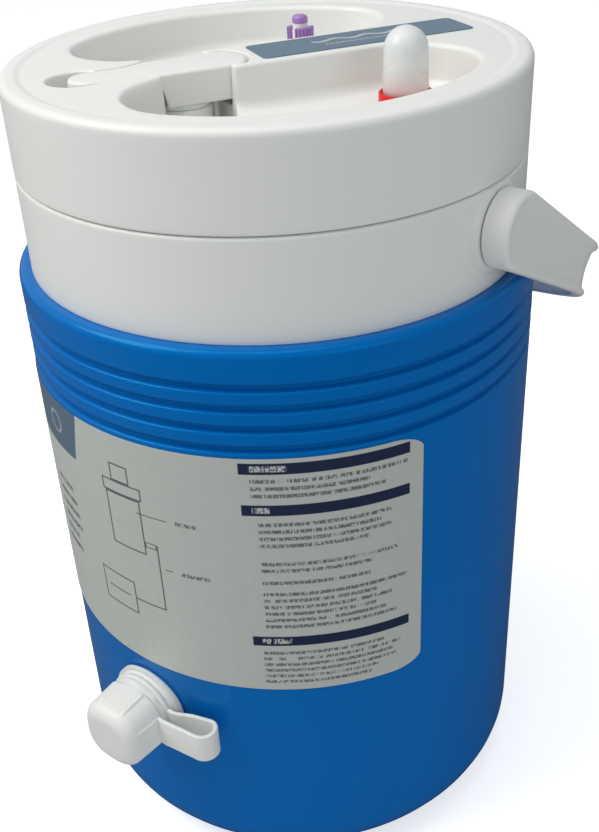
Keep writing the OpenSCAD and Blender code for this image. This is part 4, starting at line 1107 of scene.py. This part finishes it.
class JUG_OT_outlet(bpy.types.Operator):
    """Outlet's cap and strap. The cap is a softly squared tube with thin ribs: its radius runs from a
    circle's to a superellipse's, w / (|cos|^n + |sin|^n)^(1/n). The strap is a ring and a band swept along a
    drop-shaped path"""
    bl_idname = "jug.outlet"
    bl_label = "Outlet cap and strap"

    def execute(self, context):
        m = Millimetres(context.scene)
        _, front, height = place("cap_pull")
        half, long, power = m.cap_width / 2, m.cap_length, 2.75
        foot, foot_top, bore, bore_depth = 13.4, 1.4, 7.9, 11.4
        rib_place, rib_half, rib_out = 5.4, 0.85, 0.6
        path = densify(rounded_path([
            (0, long, 0), (half - 0.5, long, 4.6), (half + 0.2, foot_top + 0.4, 0.5), (foot, foot_top, 0.4),
            (foot, 0, 0.3), (bore, 0, 0.5), (bore, bore_depth, 1), (0, bore_depth, 0)], steps=8), 0.9)

        def swell(turn, radius, h):
            square = np.clip((h - 1.8) / 0.8, 0, 1) * np.clip((radius - bore - 0.05) / 0.4, 0, 1)
            square = np.where(h > long - 5, 1, square)
            shape = (np.abs(np.cos(turn)) ** power + np.abs(np.sin(turn)) ** power) ** (-1 / power)
            r = radius * (1 + (np.minimum(shape, 1.14) - 1) * square)
            across = np.minimum(np.abs(r * np.cos(turn)), np.abs(r * np.sin(turn)))
            rib = np.clip(1 - np.abs(across - rib_place) / rib_half, 0, 1) ** 0.7 * rib_out
            rib *= np.clip((h - 3) / 1.2, 0, 1) * np.clip((long - 3.4 - h) / 1.6, 0, 1)
            rib *= radius > half - 0.5
            wave = np.where((h < foot_top + 0.1) & (radius > foot - 0.5), 0.12 * np.cos(14 * turn), 0)
            return r + rib + wave

        p, f = lathe(path, 288, swell)
        build("outlet_square_cap", [(outward(p, -front, height), f)], "white_plastic", "cap",
              ["outlet_cap"], 42)

        # Strap: the ring behind the cap, and a band whose closed ends lie in the ring and on the cap
        bore, ring, thick, start = 7.2, 14.3, 2.1, 93.45
        p, f = lathe(rounded_path([
            (bore, 0, 0.3), (ring, 0, 0.9), (ring, thick, 0.9), (bore, thick, 0.3)], steps=4), 96)
        line = densify(rounded_path([
            (10, -94.25, 0), (15.5, -94.5, 6), (22, -91.6, 12), (33.2, -88.6, 4.6), (33.2, -97.8, 4.6),
            (22, -98.8, 18), (15, -99.5, 5), (12.4, -99.3, 0)], closed=False, steps=12), 0.8, closed=False)
        along = np.gradient(line, axis=0)
        normal = np.stack([along[:, 1], -along[:, 0]], -1) / np.linalg.norm(along, axis=1)[:, None]
        line, normal = (np.vstack([rows[:1], rows, rows[-1:]]) for rows in (line, normal))
        open_share = np.ones((len(line), 1))
        open_share[[0, -1]] = 0
        t, h = 0.75, 6
        section = rounded_path([(-t, -h, 0.5), (t, -h, 0.5), (t, h, 0.5), (-t, h, 0.5)], steps=4)
        t, h = section[:, 0] * open_share, section[:, 1] * open_share
        band = np.stack([line[:, :1] + normal[:, :1] * t, line[:, 1:] + normal[:, 1:] * t, height + h], -1)
        strap = build("cap_strap_loop", [(outward(p, start, height), f), rings(band)], "white_plastic", None,
                      ["cap_strap"], 45)
        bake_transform(strap)
        return {"FINISHED"}


class JUG_OT_springs(bpy.types.Operator):
    """Both valves' springs: round wire along a helix"""
    bl_idname = "jug.springs"
    bl_label = "Valve springs"

    def execute(self, context):
        for name, node, joint, along, fixed, body, wire, turns in (
                ("relief_coil_spring", "relief_spring", "relief_press", 2, 0, "lid", 0.25, 5),
                ("outlet_coil_spring", "outlet_spring", "outlet_valve", 1, 1, "jug", 0.4, 8)):
            low, high = (np.array(side) * 1000 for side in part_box(node)[:2])
            long, middle = (high - low)[along], (low + high) / 2

            # Points of the wire along Z, closed to a point at both ends
            t = np.linspace(0, 1, turns * 28 + 1)
            t = np.concatenate([[0], t, [1]])[:, None]
            w = np.full(t.shape, wire)
            w[[0, -1]] = 0
            turn, round_wire = 2 * np.pi * turns * t, np.linspace(0, 2 * np.pi, 10, endpoint=False)[None, :]
            q = (high - low)[0] / 2 - wire + w * np.cos(round_wire)
            rise = wire + (long - 2 * wire) * t + w * np.sin(round_wire)
            p, faces = rings(np.stack([q * np.cos(turn), q * np.sin(turn), rise], -1))
            if along == 1:
                p = np.column_stack([p[:, 0], p[:, 2], -p[:, 1]])
            start, anchor = middle.copy(), middle.copy()
            start[along], anchor[along] = low[along], (low, high)[fixed][along]
            spring = build(name, [(p + start, faces)], "spring_steel", body, [node], 60)
            travel = JOINTS[joint]["range_m"][1] * 1000
            tuple(anchor / 1000)
            float((long - travel) / long)
            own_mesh(spring)
        return {"FINISHED"}


class JUG_OT_labels(bpy.types.Operator):
    """Front label: a film bent round the shell, its corners rounded as seen from the front"""
    bl_idname = "jug.labels"
    bl_label = "Front label"

    def execute(self, context):
        m = Millimetres(context.scene)
        low, high, corner, film, columns = m.label_low, m.label_high, m.label_round, 0.3, 121
        quarter = corner * (1 - np.cos(np.linspace(0, np.pi / 2, 13)))
        middle = np.linspace(low + corner, high - corner, 24)[1:-1]
        z = np.concatenate([low + quarter, middle, high - quarter[::-1]])[:, None]
        inset = corner - np.minimum(np.minimum(z - low, high - z), corner)
        reach = edge("front_label", 1, 0) - corner + np.sqrt(np.maximum(corner ** 2 - inset ** 2, 0))
        azimuth = np.arcsin(reach / m.label_radius * 0.9999) * np.linspace(-1, 1, columns)[None, :]
        outer, inner = (np.stack([r * np.sin(azimuth), -r * np.cos(azimuth), z + 0 * azimuth], -1)
                        for r in (m.label_radius, m.label_radius - film))
        points, sides = rings(np.concatenate([outer, inner[:, ::-1]], 1))
        first, last = np.arange(columns - 1), 2 * columns - 1
        strip = np.stack([first, first + 1, last - 1 - first, last - first], -1)
        ends = [strip + row * 2 * columns for row in (0, len(z) - 1)]
        build("front_label_film", [(points, np.vstack([sides, *ends]))], "front_label", "jug",
              ["front_label"], 40)
        return {"FINISHED"}


def floor_paint():
    """White floor: it glows to the camera, so that it fades into the white studio, and is dark to glossy
    rays, so that the shell doesn't mirror it."""
    paint = Paint("floor_paint", Base_Color=(0.8, 0.8, 0.8, 1), Roughness=0.9, Specular_IOR_Level=0)
    plain = Wire(paint, paint.shader.outputs[0])
    glow = paint.node("ShaderNodeEmission", {}, {"Color": (1, 1, 1, 1), "Strength": 0.62})
    bright = paint.node("ShaderNodeAddShader", {}, {0: glow, 1: plain})
    dark = paint.node("ShaderNodeBsdfDiffuse", {}, {"Color": (0.12, 0.12, 0.12, 1)})
    seen = paint.node("ShaderNodeLightPath", {}, {}, "Is Camera Ray")
    mirrored = paint.node("ShaderNodeLightPath", {}, {}, "Is Glossy Ray")
    mixed = paint.node("ShaderNodeMixShader", {}, {0: seen, 1: plain, 2: bright})
    mixed = paint.node("ShaderNodeMixShader", {}, {0: mirrored, 1: mixed, 2: dark})
    paint.tree.links.new(mixed.socket, paint.tree.nodes["Material Output"].inputs["Surface"])
    return paint


def studio_world():
    """World: a dim cool light on the object, white where the camera sees it."""
    world = bpy.data.worlds.new("studio")
    world.use_nodes = True
    tree = world.node_tree
    tree.nodes.clear()
    path = tree.nodes.new("ShaderNodeLightPath")
    either = tree.nodes.new("ShaderNodeMath")
    either.operation, either.use_clamp = "ADD", True
    mix = tree.nodes.new("ShaderNodeMixShader")
    out = tree.nodes.new("ShaderNodeOutputWorld")
    for i, (ray, shade, strength) in enumerate((
            ("Is Camera Ray", (0.9, 0.95, 1, 1), 0.45), ("Is Transmission Ray", (1, 1, 1, 1), 1))):
        back = tree.nodes.new("ShaderNodeBackground")
        back.inputs["Color"].default_value = shade
        back.inputs["Strength"].default_value = strength
        tree.links.new(path.outputs[ray], either.inputs[i])
        tree.links.new(back.outputs[0], mix.inputs[i + 1])
    tree.links.new(either.outputs[0], mix.inputs[0])
    tree.links.new(mix.outputs[0], out.inputs["Surface"])
    return world


def lamp(name, azimuth, elevation, distance, size, energy, tint, aim=0.17):
    """An area lamp aimed at a height on the jug's axis; azimuth 0 is in front and turns towards +X."""
    az, el = np.radians(azimuth), np.radians(elevation)
    direction = np.array([np.sin(az) * np.cos(el), -np.cos(az) * np.cos(el), np.sin(el)])
    data = bpy.data.lights.new(name, "AREA")
    data.shape, data.size, data.size_y, data.energy, data.color = "RECTANGLE", size, size, energy, tint
    obj = bpy.data.objects.new(name, data)
    side = np.cross((0, 0, 1), direction)
    side /= np.linalg.norm(side)
    matrix = np.eye(4)
    matrix[:3, :3] = np.stack([side, np.cross(direction, side), direction], 1)
    matrix[:3, 3] = np.array([0, 0, aim]) + direction * distance
    obj.matrix_world = Matrix(matrix.tolist())
    bpy.context.scene.collection.objects.link(obj)


class JUG_OT_stage(bpy.types.Operator):
    """Floor, soft studio light, world and the camera at the photograph's angle"""
    bl_idname = "jug.stage"
    bl_label = "Stage"

    def execute(self, context):
        scene = context.scene
        mesh = bpy.data.meshes.new("floor")
        mesh.from_pydata([(-6, -6, 0), (6, -6, 0), (6, 6, 0), (-6, 6, 0)], [], [(0, 1, 2, 3)])
        floor = bpy.data.objects.new("floor", mesh)
        scene.collection.objects.link(floor)
        mesh.materials.append(floor_paint().material)
        scene.world = studio_world()
        lamp("key", -42, 50, 1.0, 0.6, 5.6, (1, 0.99, 0.97))
        lamp("top", 10, 82, 1.1, 0.6, 3.0, (1, 1, 1), 0.28)
        lamp("fill", 70, 20, 1.4, 0.8, 1.6, (0.94, 0.97, 1))

        focal_pixels, picture_height, sensor = 1086.198, 832, 36
        camera = bpy.data.cameras.new("camera")
        camera.sensor_width, camera.lens = sensor, focal_pixels / picture_height * sensor
        camera.clip_start, camera.clip_end = 0.01, 50
        obj = bpy.data.objects.new("camera", camera)
        obj.matrix_world = photo_view()
        scene.collection.objects.link(obj)
        scene.camera = obj
        scene.view_settings.view_transform = "Standard"
        return {"FINISHED"}


def photo_view():
    """Camera of the photograph: it looks at a height on the jug's axis from 30.152 degrees above and 39
    degrees round, then turns by a small yaw, pitch and roll. Lengths are in millimetres."""
    around, above, distance, aim = np.radians(39), np.radians(30.152), 418.2459, 162.772
    yaw, pitch, roll = np.radians([0.618, -1.444, 3.453])
    away, up = np.cos(above), np.sin(above)
    seat = np.array([0, -distance * away, aim + distance * up]) / 1000
    level = np.array([[1, 0, 0], [0, up, away], [0, away, -up]])
    yawed = np.array([[np.cos(yaw), 0, -np.sin(yaw)], [0, 1, 0], [np.sin(yaw), 0, np.cos(yaw)]])
    pitched = np.array([[1, 0, 0], [0, np.cos(pitch), -np.sin(pitch)], [0, np.sin(pitch), np.cos(pitch)]])
    rolled = np.array([[np.cos(roll), -np.sin(roll), 0], [np.sin(roll), np.cos(roll), 0], [0, 0, 1]])
    right, down, forward = rolled @ pitched @ yawed @ level
    t = np.array([[np.cos(around), -np.sin(around), 0], [np.sin(around), np.cos(around), 0], [0, 0, 1]])
    matrix = np.eye(4)
    matrix[:3, :3] = np.stack([t @ right, t @ down, -(t @ forward)], 1)
    matrix[:3, 3] = t @ seat
    return Matrix(matrix.tolist())


class JUG_PT_panel(bpy.types.Panel):
    """Lists the jug's operators in the sidebar"""
    bl_label = "Therapy Jug"
    bl_space_type = "VIEW_3D"
    bl_region_type = "UI"
    bl_category = "Jug"

    def draw(self, context):
        for operator in STEPS:
            self.layout.operator(operator.bl_idname)


STEPS = (JUG_OT_paints, JUG_OT_shell, JUG_OT_collar, JUG_OT_handle, JUG_OT_lid, JUG_OT_lever, JUG_OT_vent,
         JUG_OT_boot, JUG_OT_outlet, JUG_OT_springs, JUG_OT_labels, JUG_OT_stage)
CLASSES = (JugSizes, JugColours, *STEPS, JUG_PT_panel)


def register():
    for item in CLASSES:
        bpy.utils.register_class(item)
    bpy.types.Scene.jug_sizes = bpy.props.PointerProperty(type=JugSizes)
    bpy.types.Scene.jug_colours = bpy.props.PointerProperty(type=JugColours)


def unregister():
    del bpy.types.Scene.jug_sizes, bpy.types.Scene.jug_colours
    for item in reversed(CLASSES):
        bpy.utils.unregister_class(item)


def main():
    """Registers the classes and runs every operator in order."""
    register()
    for operator in STEPS:
        group, name = operator.bl_idname.split(".")
        if getattr(getattr(bpy.ops, group), name)() != {"FINISHED"}:
            raise RuntimeError(f"{operator.bl_label} didn't finish")


if __name__ == "__main__":
    main()
